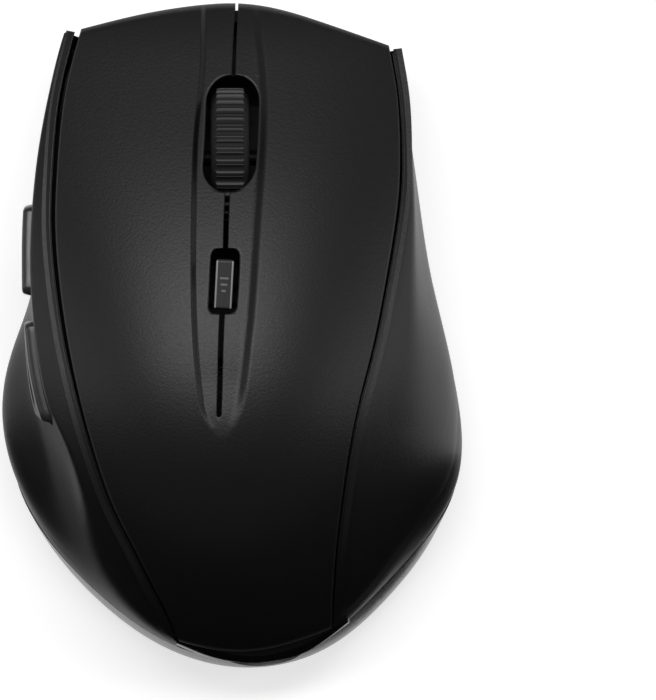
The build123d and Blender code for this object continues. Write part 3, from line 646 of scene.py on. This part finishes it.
def palm_skin():
    """The palm cover behind the keys, in one piece from groove to groove."""
    base = np.repeat(palm_rows[:, None], 2 * COLUMNS - 1, 1)
    share = np.clip((PALM_BEND_Y - base) / (PALM_BEND_Y - PALM_END), 0, 1) ** 1.5
    y = base
    for _ in range(5):
        a, b = groove_left(y) + gap_left(y), groove_right(y) - gap_right(y)
        mid = slit_x(np.maximum(y, SLIT_LEFT_Y)) + PALM_DRIFT * np.minimum(y - SLIT_LEFT_Y, 0)
        fade = steps(y, -22, CHANNEL_END)
        left_chan = channel_left(np.maximum(y, CHANNEL_END)) * fade + (a * 0.3 + mid * 0.7) * (1 - fade)
        right_chan = channel_right(np.maximum(y, CHANNEL_END)) * fade + (b * 0.3 + mid * 0.7) * (1 - fade)
        left_x = column_x(a[:, :COLUMNS], left_chan[:, :COLUMNS], mid[:, :COLUMNS], 1)
        flipped = slice(None, COLUMNS - 2, -1)
        right_x = column_x(b[:, flipped], right_chan[:, flipped], mid[:, flipped], -1)
        x = np.concatenate([left_x, right_x[:, ::-1][:, 1:]], 1)
        y = base + share * (tail_y(x) - PALM_END)
    z = cover_height(x, y, False)
    outer = np.stack([x, y, z], -1)
    smooth = np.stack([x, y, crown(x, y)], -1)
    normal = grid_normals(smooth)
    normal *= np.sign(normal[..., 2:3])
    under = smooth - normal * PALM_THICK
    under[0, :, 1] = y[0]
    verts, faces = closed_sheet(outer, under, flip=True)
    obj = make("palm_rest", verts, faces, "casing", soft)
    # Painted highlight along the palm cover's lips.
    light = painted_lip_highlight(x, y, False)
    paint_edge_highlight(obj, np.concatenate([light.ravel(), np.zeros(light.size)]))
    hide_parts("palm_cover")


palm_skin()

# ------------------------------------------------------------------ side shells
CREASE_ROWS = (18, 30, 40)  # rows before the crease, over it and below it
TOP_POINTS, FLANK_POINTS, DENSE_POINTS = 160, 300, 900
WALL_LOW, WALL_HIGH = 6.0, 43.0
SEAM_OPEN, SEAM_CLOSED = 0.38, 0.06  # the parting line over the base, open outside and closed inside
SHELL_THICK = 1.4


def crease_height(t):
    """Height at which the wall meets the crown at share t of the side line."""
    lo, hi = WALL_LOW, WALL_HIGH
    for _ in range(36):
        mid = (lo + hi) / 2
        q = wall(t, mid)
        if crown(q[0], q[1]) > mid:
            lo = mid
        else:
            hi = mid
    return lo


def side_profile(t, top_point, radius):
    """Points from the groove over the crease and down the flank to the seam."""
    lo = crease_height(t)
    crease = wall(t, lo)
    plan = top_point + (crease[:2] - top_point) * np.linspace(0, 1, TOP_POINTS)[:, None]
    top = np.concatenate([plan, crown(plan[:, 0], plan[:, 1])[:, None]], 1)
    low = seam_z(wall(t, WALL_LOW)[1]) + SEAM_OPEN
    down = wall(np.full(FLANK_POINTS, t), np.linspace(lo, low, FLANK_POINTS))
    path = np.concatenate([top, down[1:]])
    length = np.concatenate([[0], np.cumsum(np.linalg.norm(np.diff(path, axis=0), axis=1))])
    total, corner = length[-1], length[TOP_POINTS - 1]
    dense = np.linspace(0, total, DENSE_POINTS)
    line = np.stack([np.interp(dense, length, path[:, c]) for c in range(3)], -1)
    reach = np.clip(np.minimum(dense, total - dense), 1e-6, radius * 0.75)
    for _ in range(2):
        area = np.cumsum((line[1:] + line[:-1]) / 2 * np.diff(dense)[:, None], axis=0)
        area = np.concatenate([np.zeros((1, 3)), area])
        ahead = np.stack([np.interp(dense + reach, dense, area[:, c]) for c in range(3)], -1)
        behind = np.stack([np.interp(dense - reach, dense, area[:, c]) for c in range(3)], -1)
        line = np.concatenate([line[:1], ((ahead - behind) / (2 * reach)[:, None])[1:-1], line[-1:]])
    bend = min(radius, corner * 0.9, (total - corner) * 0.9)
    k = min(1.0, total / 4)
    kt = min(k, corner * 0.5)
    s0 = max(corner - bend, corner * 0.3, 0.5 * kt + corner * 0.1)
    s1 = min(corner + bend, total - (total - corner) * 0.3)
    marks = np.concatenate([
        EDGE * kt, np.linspace(0.5 * kt, s0, CREASE_ROWS[0])[1:], np.linspace(s0, s1, CREASE_ROWS[1])[1:],
        np.linspace(s1, total - 0.5 * k, CREASE_ROWS[2])[1:], total - EDGE[::-1][1:] * k,
    ])
    prof = np.stack([np.interp(marks, dense, line[:, c]) for c in range(3)], -1)
    prof[: len(EDGE), 2] -= bowl(EDGE, GROOVE_LIP) * kt
    prof[-len(EDGE) + 1 :, :2] += side_line.inward(t) * bowl(EDGE[::-1][1:], SEAM_LIP)[:, None] * k
    return prof


def side_shell(name, node, t, ahead, groove, gap_sign, gap, radius, taper):
    """A side shell through its profiles; ahead gives the groove's y for each profile."""
    top = np.stack([groove(ahead) + gap_sign * gap(ahead), ahead], -1)
    outer = np.array([side_profile(tk, pk, rk) for tk, pk, rk in zip(t, top, radius)])
    along = grid_normals(outer)
    middle = np.array([0.0, -5.0, 12.0])
    turned = (along * (outer - middle)).sum(-1).mean() < 0
    normal = -along if turned else along
    for _ in range(8):  # the inner side follows the form, not its small edges
        normal[:, 1:-1] = (normal[:, :-2] + normal[:, 1:-1] + normal[:, 2:]) / 3
        normal /= np.linalg.norm(normal, axis=-1, keepdims=True)
    inner = outer - normal * (SHELL_THICK * taper)[:, None, None]
    inner[:, -1, 2] -= SEAM_OPEN - SEAM_CLOSED
    verts, faces = closed_sheet(outer, inner, flip=bool(turned))
    obj = make(name, verts, faces, "casing", soft)
    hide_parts(node)
    return obj


# Each shell runs through STATIONS profiles. Its groove end keeps ahead of its wall end round the rear,
# where its crease is also rounder and its skin thinner.
knot = side_line.knots
STATIONS = 240
t_left = np.linspace(knot[0] + 0.001, knot[10] + 0.004, STATIONS)
left_y = side_line(t_left)[:, 1]
left_ahead = np.interp(
    left_y, [-50.6, -48, -42, -32, -22, -12, 0, 48.3], [-48.7, -46.4, -39.6, -29.6, -20.4, -11.4, 0, 48.3]
)
left_r = np.interp(left_y, [-50, -44, -36, -28, -20, -10, 50], [3.0, 5.0, 4.5, 2.2, 1.0, 0.55, 0.5])
left_taper = 0.25 + 0.75 * steps(left_y, -50.5, -44)
left_shell = side_shell(
    "left_flank", "left_side_shell", t_left, left_ahead, groove_left, -1, gap_left, left_r, left_taper
)
t_right = np.linspace(knot[12] + 0.014, knot[-1] - 0.001, STATIONS)
right_y = side_line(t_right)[:, 1]
right_ahead = np.interp(
    right_y, [-49.4, -47, -42, -32, -22, -12, 0, 45.6], [-46.5, -44.2, -38.6, -28.6, -19.4, -10.6, 0, 45.6]
)
right_r = np.interp(right_y, [-50, -40, -30, -15, -5, 5, 20, 50], [3.0, 7.0, 9.0, 8.0, 5.0, 2.6, 1.2, 0.9])
right_taper = 0.25 + 0.75 * steps(right_y, -49, -43)
side_shell(
    "right_flank", "right_side_shell", t_right, right_ahead, groove_right, 1, gap_right, right_r, right_taper
)


# ------------------------------------------------------------------ thumb buttons
# Their outlines as y and z, then how far a hole or a flange stands out past the outline, and its corners.
FORWARD = [(20.9, 17.4), (20.3, 21.2), (6.0, 24.0), (6.6, 19.4)]
BACK = [(2.3, 19.9), (2.0, 25.0), (-14.4, 27.2), (-13.2, 22.0)]
HOLE_OUT, HOLE_R = 0.3, 1.4
FLANGE_OUT, FLANGE_R, FLANGE_IN, FLANGE_THICK = 0.55, 1.75, 2.0, 0.6
PAD_R = 1.2
CUTTER_FROM, CUTTER_TO = -45, -22


def flank_x(y, z):
    """x of the left wall at given y and z."""
    lo = np.full(np.shape(y), knot[0])
    hi = np.full(np.shape(y), knot[8])
    for _ in range(30):
        mid = (lo + hi) / 2
        ahead = wall(mid, z)[..., 1] > y
        lo, hi = np.where(ahead, mid, lo), np.where(ahead, hi, mid)
    return wall(lo, z)[..., 0]


def rounded(outline, grow, r, per_corner=9, per_side=14):
    """A rounded polygon, its points spaced round the corners and along the sides."""
    pts = np.array(outline, float)
    mid = pts.mean(0)
    area = np.cross(np.roll(pts, -1, 0) - pts, mid - pts).sum()
    if area < 0:
        pts = pts[::-1]
    n = len(pts)
    edge = np.roll(pts, -1, 0) - pts
    edge /= np.linalg.norm(edge, axis=1, keepdims=True)
    inward = np.stack([-edge[:, 1], edge[:, 0]], -1)
    if ((mid - pts) * inward).sum() < 0:
        inward = -inward

    def corner(i, d):
        a, b = inward[i - 1], inward[i]
        m = np.array([a, b])
        return pts[i] + np.linalg.solve(m, [d, d])

    out = []
    for i in range(n):
        c = corner(i, r - grow)
        a0 = math.atan2(*(-inward[i - 1])[::-1])
        a1 = math.atan2(*(-inward[i])[::-1])
        turn = (a1 - a0 + math.pi) % (2 * math.pi) - math.pi
        for f in np.linspace(0, 1, per_corner):
            out.append(c + r * np.array([math.cos(a0 + turn * f), math.sin(a0 + turn * f)]))
        nxt = corner((i + 1) % n, r - grow) + r * -inward[i]
        start = out[-1]
        for f in np.linspace(0, 1, per_side + 2)[1:-1]:
            out.append(start + (nxt - start) * f)
    return np.array(out)


def pad_rings(outline, r, insets, shares):
    """Rings from an outline towards its long middle line: by inset, then by share of the way left."""
    ring0 = rounded(outline, 0, r)
    pts = np.array(outline, float)
    a, b = (pts[0] + pts[1]) / 2, (pts[2] + pts[3]) / 2
    half = np.linalg.norm(pts[0] - pts[1]) / 2
    axis = (b - a) / np.linalg.norm(b - a)
    length = np.linalg.norm(b - a)
    s = np.clip((ring0 - a) @ axis, half, length - half)
    core = a + s[:, None] * axis
    span = np.linalg.norm(ring0 - core, axis=1, keepdims=True)
    rings = [ring0 + (core - ring0) * np.minimum(d / span, 0.9) for d in insets]
    return rings + [rings[-1] + (core - rings[-1]) * f for f in shares]


def smooth_flank(outline):
    """A smooth surface x(y, z) fitted to the flank round an outline."""
    pts = np.array(outline, float)
    low, high = pts.min(0), pts.max(0)
    y, z = np.meshgrid(np.linspace(low[0], high[0], 9), np.linspace(low[1], high[1], 7))
    y0, z0 = y.mean(), z.mean()

    def terms(y, z):
        a, b = (y - y0) / 8, (z - z0) / 4
        return np.stack([np.ones_like(a), a, b, a * a, a * b, b * b, a**3], -1)

    fit = np.linalg.lstsq(terms(y.ravel(), z.ravel()), flank_x(y.ravel(), z.ravel()), rcond=None)[0]
    return lambda y, z: terms(y, z) @ fit


def thumb_button(name, outline, body, node, proud):
    """A thumb button with a flange behind the shell, a side, a soft edge and a face."""
    flank = smooth_flank(outline)
    insets = [0, 0.06, 0.16, 0.3, 0.48, 0.7, 0.95]
    rise = [0.25, 0.45, 0.68, 0.86, 0.96, 1.0, 1.01, 1.01, 1.01]
    rings = pad_rings(outline, PAD_R, insets, [0.25, 0.5])
    flange = rounded(outline, FLANGE_OUT, FLANGE_R)
    layers = []
    for ring, depth in ((flange, FLANGE_IN + FLANGE_THICK), (flange, FLANGE_IN), (rings[0], FLANGE_IN)):
        layers.append(np.column_stack([flank(ring[:, 0], ring[:, 1]) + depth, ring]))
    for ring, share in zip(rings, rise):
        x = flank(ring[:, 0], ring[:, 1]) - proud * share
        layers.append(np.column_stack([x, ring]))
    verts, faces = closed_stack(layers)
    obj = make(name, verts, faces, body, thumb_gloss, 30)
    fix_normals(obj)
    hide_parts(node)


def fix_normals(obj):
    """Turns every face of a closed mesh outwards."""
    bm = bmesh.new()
    bm.from_mesh(obj.data)
    bmesh.ops.recalc_face_normals(bm, faces=bm.faces)
    bm.to_mesh(obj.data)
    bm.free()


def prism_x(name, outline, x0, x1):
    """A plain cutter along X."""
    n = len(outline)
    verts = [(x0, *p) for p in outline] + [(x1, *p) for p in outline]
    faces = [list(range(n)), [n + i for i in range(n)][::-1]]
    faces += [[i, i + n, (i + 1) % n + n, (i + 1) % n] for i in range(n)]
    obj = make(name, verts, faces, None, inner_black)
    fix_normals(obj)
    return obj


def cut(obj, cutter):
    """Takes the cutter away from obj for good."""
    mod = obj.modifiers.new("cut", "BOOLEAN")
    mod.operation = "DIFFERENCE"
    mod.solver = "EXACT"
    mod.object = cutter
    shape = bpy.data.meshes.new_from_object(obj.evaluated_get(bpy.context.evaluated_depsgraph_get()))
    obj.modifiers.clear()
    obj.data = shape
    shape.set_sharp_from_angle(angle=math.radians(38))
    bpy.data.objects.remove(cutter)


for label, outline in (("forward", FORWARD), ("back", BACK)):
    hole = rounded(outline, HOLE_OUT, HOLE_R)
    cut(left_shell, prism_x("cutter_" + label, hole, CUTTER_FROM, CUTTER_TO))
thumb_button("thumb_forward", FORWARD, "forward_key", "thumb_button_forward", 1.6)
thumb_button("thumb_back", BACK, "back_key", "thumb_button_back", 1.5)

# ------------------------------------------------------------------ rear trim
LENS_SUNK, LENS_OVER_SEAM, LENS_THICK = 0.35, 0.15, 1.1


def rear_trim():
    """The gloss lens between the top cover's rear edge and the base."""
    upper = np.array([
        (-9.0, -48.9), (-4.8, -49.9), (1.5, -50.5), (6.7, -49.8), (11.4, -48.4), (15.6, -46.8),
        (17.9, -45.55),
    ])
    lower = np.array([
        (-9.3, -49.4), (-4.8, -51.1), (-0.6, -52.0), (3, -52.2), (7.8, -51.6), (11.4, -50.5), (14, -49.0),
        (18.4, -45.8),
    ])
    up, low = Line(upper), Line(lower)
    u = np.linspace(0, 1, 90)
    a = up(u)
    b = low(u)
    top_z = crown(a[:, 0], a[:, 1]) - LENS_SUNK
    top = np.column_stack([a, top_z])
    bottom_z = np.minimum(seam_z(b[:, 1]) + LENS_OVER_SEAM, top_z - 0.4)
    bottom = np.column_stack([b, bottom_z])
    outer = []
    for f in np.linspace(0, 1, 14):
        out = 0.35 * f + 0.65 * math.sin(f * math.pi / 2)
        down = 0.35 * f + 0.65 * (1 - math.cos(f * math.pi / 2))
        row = top.copy()
        row[:, :2] = top[:, :2] + (bottom[:, :2] - top[:, :2]) * out
        row[:, 2] = top[:, 2] + (bottom[:, 2] - top[:, 2]) * down
        outer.append(row)
    outer = np.array(outer)
    inner = outer.copy()
    inner[..., 1] += LENS_THICK
    inner[..., 2] -= 0.1
    verts, faces = closed_sheet(outer, inner)
    obj = make("rear_lens", verts, faces, "casing", piano)
    fix_normals(obj)
    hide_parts("rear_trim")


rear_trim()

# ------------------------------------------------------------------ scroll wheel
RIBS, RIB_HIGH = 36, 0.56


def tyre():
    """The ribbed tyre: rows round the wheel of a section across it, lifted at each rib."""
    bands = [
        (0, 0.0), (0.02, 0.0), (0.1, 0.12), (0.14, 0.5), (0.17, 0.85), (0.21, 0.98), (0.27, 1.0), (0.38, 1.0),
        (0.49, 1.0), (0.55, 0.98), (0.59, 0.85), (0.62, 0.5), (0.66, 0.12), (0.74, 0.0), (0.87, 0.0),
    ]
    half = [
        (3.05, 8.4), (3.05, 9.0), (3.0, 9.5), (2.85, 9.95), (2.6, 10.3), (2.4, 10.5), (2.3, 10.56),
        (2.22, 10.58), (2.12, 10.6), (1.9, 10.6), (1.0, 10.62),
    ]
    section = [(-x, r) for x, r in half] + [(0, 10.62)] + half[::-1]
    angles, lifts = [], []
    for k in range(RIBS):
        for share, lift in bands:
            angles.append((k + share) * 2 * math.pi / RIBS)
            lifts.append(lift)
    angles, lifts = np.array(angles), np.array(lifts)
    verts, light = [], []
    for x, r in section:
        strength = RIB_HIGH * float(1 - steps(abs(x), 2.05, 2.35))
        radius = r + lifts * strength
        y, z = WHEEL.y + radius * np.cos(angles), WHEEL.z + radius * np.sin(angles)
        verts.append(np.column_stack([np.full(len(angles), WHEEL.x + x), y, z]))
        # The flanks of the ribs get the painted highlight.
        light.append(np.where((lifts > 0.4) & (lifts < 0.99), 1.0, 0.0) * strength / RIB_HIGH)
    verts = np.concatenate(verts)
    faces = grid_faces(len(section), len(angles), close_rows=True, close_cols=True)
    obj = make("wheel_tyre", verts, faces, "scroll_wheel", rubber, 50)
    paint_edge_highlight(obj, np.concatenate(light))
    fix_normals(obj)
    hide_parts("scroll_wheel_tyre")


tyre()

# ------------------------------------------------------------------ resolution button
BUTTON_SPOT, BUTTON_TURN = np.array([-1.55, 7.9]), math.radians(-3)
BARS = ((0.7, -1.0), (1.05, 0.0), (1.4, 1.0))  # length of each and its place along the button
BAR_WIDE, BAR_SUNK, BAR_PROUD = 0.32, 0.035, 0.014


def rectangle(width, length, at=0.0):
    """Corners of a rectangle about the middle line, at its place along it."""
    x, low, high = width / 2, at - length / 2, at + length / 2
    return [(-x, low), (x, low), (x, high), (-x, high)]


def dpi_button():
    """The resolution button with a painted highlight on its long edges and three bars on its face."""
    wide, long, top, corner = 2.85, 8.0, 35.6, 0.4
    cos, sin = math.cos(BUTTON_TURN), math.sin(BUTTON_TURN)
    turn = np.array([[cos, -sin], [sin, cos]])
    layers = []
    for grow, z in (
        (0, top - 3.4), (0, top - 1.0), (0, top - 0.5), (-0.03, top - 0.4), (-0.09, top - 0.3),
        (-0.21, top - 0.1), (-0.27, top - 0.03), (-0.34, top), (-0.5, top), (-0.9, top), (-1.3, top),
    ):
        ring = rounded(rectangle(wide, long), grow, max(0.1, corner + grow)) @ turn.T + BUTTON_SPOT
        layers.append(at_height(ring, z))
    verts, faces = closed_stack(layers)
    obj = make("resolution_button", verts, faces, "dpi_key", button_satin, 28)
    # The long top edges get the painted highlight.
    local = (verts[:, :2] - BUTTON_SPOT) @ turn
    high = verts[:, 2] > top - 0.35
    long_side = (np.abs(local[:, 0]) > wide / 2 - 0.3) & (np.abs(local[:, 1]) < long / 2 - 0.25)
    paint_edge_highlight(obj, np.where(high & long_side, 1.0, 0.0))
    fix_normals(obj)
    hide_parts("dpi_button")
    for k, (length, at) in enumerate(BARS):
        bar = rounded(rectangle(length, BAR_WIDE, at), 0, 0.1, 4, 2) @ turn.T + BUTTON_SPOT
        verts, faces = closed_stack([at_height(bar, top - BAR_SUNK), at_height(bar, top + BAR_PROUD)])
        glyph = make(f"level_bar_{k + 1}", verts, faces, "dpi_key", paint)
        fix_normals(glyph)


dpi_button()

# ------------------------------------------------------------------ CAD nodes that stay in view
FINISH = {
    rim: ["base_shell", "battery_door"],
    inner_black: ["mid_frame", "wheel_cradle"],
    wheel_core: ["scroll_wheel_hub"],
    slip: ["glide_feet"],
    steel: [
        "casing_screws", "board_screws", "battery_plus_contact", "battery_minus_contact",
        "receiver_plug_shell",
    ],
    board: ["main_circuit_board", "thumb_switch_board"],
    switch_black: [
        "left_click_switch", "right_click_switch", "middle_click_switch", "dpi_switch", "thumb_switches",
        "rotary_encoder", "power_switch_body",
    ],
    chip: ["optical_sensor", "microcontroller"],
    lens_clear: ["sensor_lens"],
    can: ["capacitor"],
    jacket: ["battery_cell"],
    plunger_dark: ["left_click_plunger", "right_click_plunger", "middle_click_plunger"],
    slider_grey: ["power_switch_slider"],
    thumb_gloss: ["receiver_housing"],
    tongue_white: ["receiver_tongue"],
    gilt: ["receiver_contacts"],
}
for finish, names in FINISH.items():
    for label in names:
        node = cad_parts[label]
        node.data.materials.clear()
        node.data.materials.append(finish)
BEVELS = {
    "base_shell": 0.12, "battery_door": 0.2, "glide_feet": 0.15, "power_switch_slider": 0.15,
    "receiver_housing": 0.2,
}
for label, width in BEVELS.items():
    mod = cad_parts[label].modifiers.new("soft_edges", "BEVEL")
    mod.width = width * MM
    mod.segments = 2
    mod.limit_method = "ANGLE"
    mod.angle_limit = math.radians(40)
    mod.harden_normals = False


# ------------------------------------------------------------------ studio, in metres
FLOOR_SIZE = 6.0


def stage_material(name, low, high, scale):
    """A material that varies a little between two greys, and its shader."""
    mat = bpy.data.materials.new(name)
    mat.use_nodes = True
    nodes, links = mat.node_tree.nodes, mat.node_tree.links
    shader = nodes["Principled BSDF"]
    noise = nodes.new("ShaderNodeTexNoise")
    noise.inputs["Scale"].default_value = scale
    ramp = nodes.new("ShaderNodeValToRGB")
    ramp.color_ramp.elements[0].color = (low, low, low, 1)
    ramp.color_ramp.elements[1].color = (high, high, high, 1)
    links.new(noise.outputs["Fac"], ramp.inputs["Fac"])
    links.new(ramp.outputs["Color"], shader.inputs["Base Color"])
    return mat, shader


def floor():
    """A white floor that glows a little, so that it stays white under soft light."""
    mat, shader = stage_material("floor_white", 0.52, 0.55, 30)
    shader.inputs["Roughness"].default_value = 0.9
    shader.inputs["Emission Color"].default_value = (1, 1, 1, 1)
    shader.inputs["Emission Strength"].default_value = 0.66
    mesh = bpy.data.meshes.new("floor")
    mesh.from_pydata([(*corner, 0) for corner in rectangle(FLOOR_SIZE, FLOOR_SIZE)], [], [(0, 1, 2, 3)])
    mesh.materials.append(mat)
    obj = bpy.data.objects.new("floor", mesh)
    bpy.context.scene.collection.objects.link(obj)


CARD_GAP = (14.0, 7.0, 5.0, 4.5, 5.5)  # mm from the mouse to the card, from the left side round to the right
CARD_CENTRE, CARD_REACH, CARD_RISE = (0, -0.01), 0.7, 0.35
CARD_STATIONS = 60


def dark_card():
    """A black card round the rear of the mouse, seen only in its gloss."""
    mat, shader = stage_material("card_black", 0.001, 0.002, 5)
    shader.inputs["Specular IOR Level"].default_value = 0.0
    mesh = bpy.data.meshes.new("card")
    share = np.linspace(knot[6] + 0.01, knot[16] - 0.02, CARD_STATIONS)
    gap = np.interp(np.linspace(0, 1, CARD_STATIONS), np.linspace(0, 1, len(CARD_GAP)), CARD_GAP)
    near = side_line(share) - side_line.inward(share) * gap[:, None]
    near *= MM
    out = near - CARD_CENTRE
    far = near + out / np.linalg.norm(out, axis=1, keepdims=True) * CARD_REACH
    rows = [at_height(near, MM), at_height(far, MM), at_height(far, CARD_RISE)]
    mesh.from_pydata(np.concatenate(rows).tolist(), [], grid_faces(3, CARD_STATIONS))
    mesh.materials.append(mat)
    obj = bpy.data.objects.new("card", mesh)
    obj.visible_camera = False
    obj.visible_diffuse = False
    obj.visible_shadow = False
    bpy.context.scene.collection.objects.link(obj)


def area_light(name, place, target, size, power, shape=1.0):
    """A rectangular light, shape times as high as it is wide, turned to its target."""
    light = bpy.data.lights.new(name, "AREA")
    light.shape = "RECTANGLE"
    light.size = size
    light.size_y = size * shape
    light.energy = power
    obj = bpy.data.objects.new(name, light)
    obj.location = place
    obj.rotation_euler = (Vector(target) - Vector(place)).to_track_quat("-Z", "Y").to_euler()
    bpy.context.scene.collection.objects.link(obj)


floor()
dark_card()
MIDDLE = (0, 0, 0.02)
area_light("front_top", (-0.03, 0.35, 0.72), MIDDLE, 0.80, 4.6, 0.24)
area_light("right_strip", (0.62, 0.10, 0.28), MIDDLE, 0.2, 0.8, 2.5)
area_light("left_strip", (-0.62, 0.10, 0.28), MIDDLE, 0.2, 0.6, 2.5)

scene = bpy.context.scene
world = bpy.data.worlds.new("studio")
scene.world = world
world.use_nodes = True
sky = world.node_tree.nodes["Background"]
sky.inputs["Color"].default_value = (1, 1, 1, 1)
sky.inputs["Strength"].default_value = 0.16
scene.view_settings.view_transform = "Standard"

# The camera looks straight down from far off. VIEW_HIGH is what it takes in along Y, in mm, at FIT_Z.
VIEW_X, VIEW_Y, VIEW_HIGH = 14.94, -2.46, 111.3
FIT_Z = 0.012
camera = bpy.data.cameras.new("camera")
camera.sensor_fit = "VERTICAL"
camera.sensor_height = 24
camera.lens = 1500
distance = VIEW_HIGH * MM * camera.lens / camera.sensor_height
camera.clip_start, camera.clip_end = 0.01, 10
holder = bpy.data.objects.new("camera", camera)
holder.location = (VIEW_X * MM, VIEW_Y * MM, distance + FIT_Z)
scene.collection.objects.link(holder)
scene.camera = holder
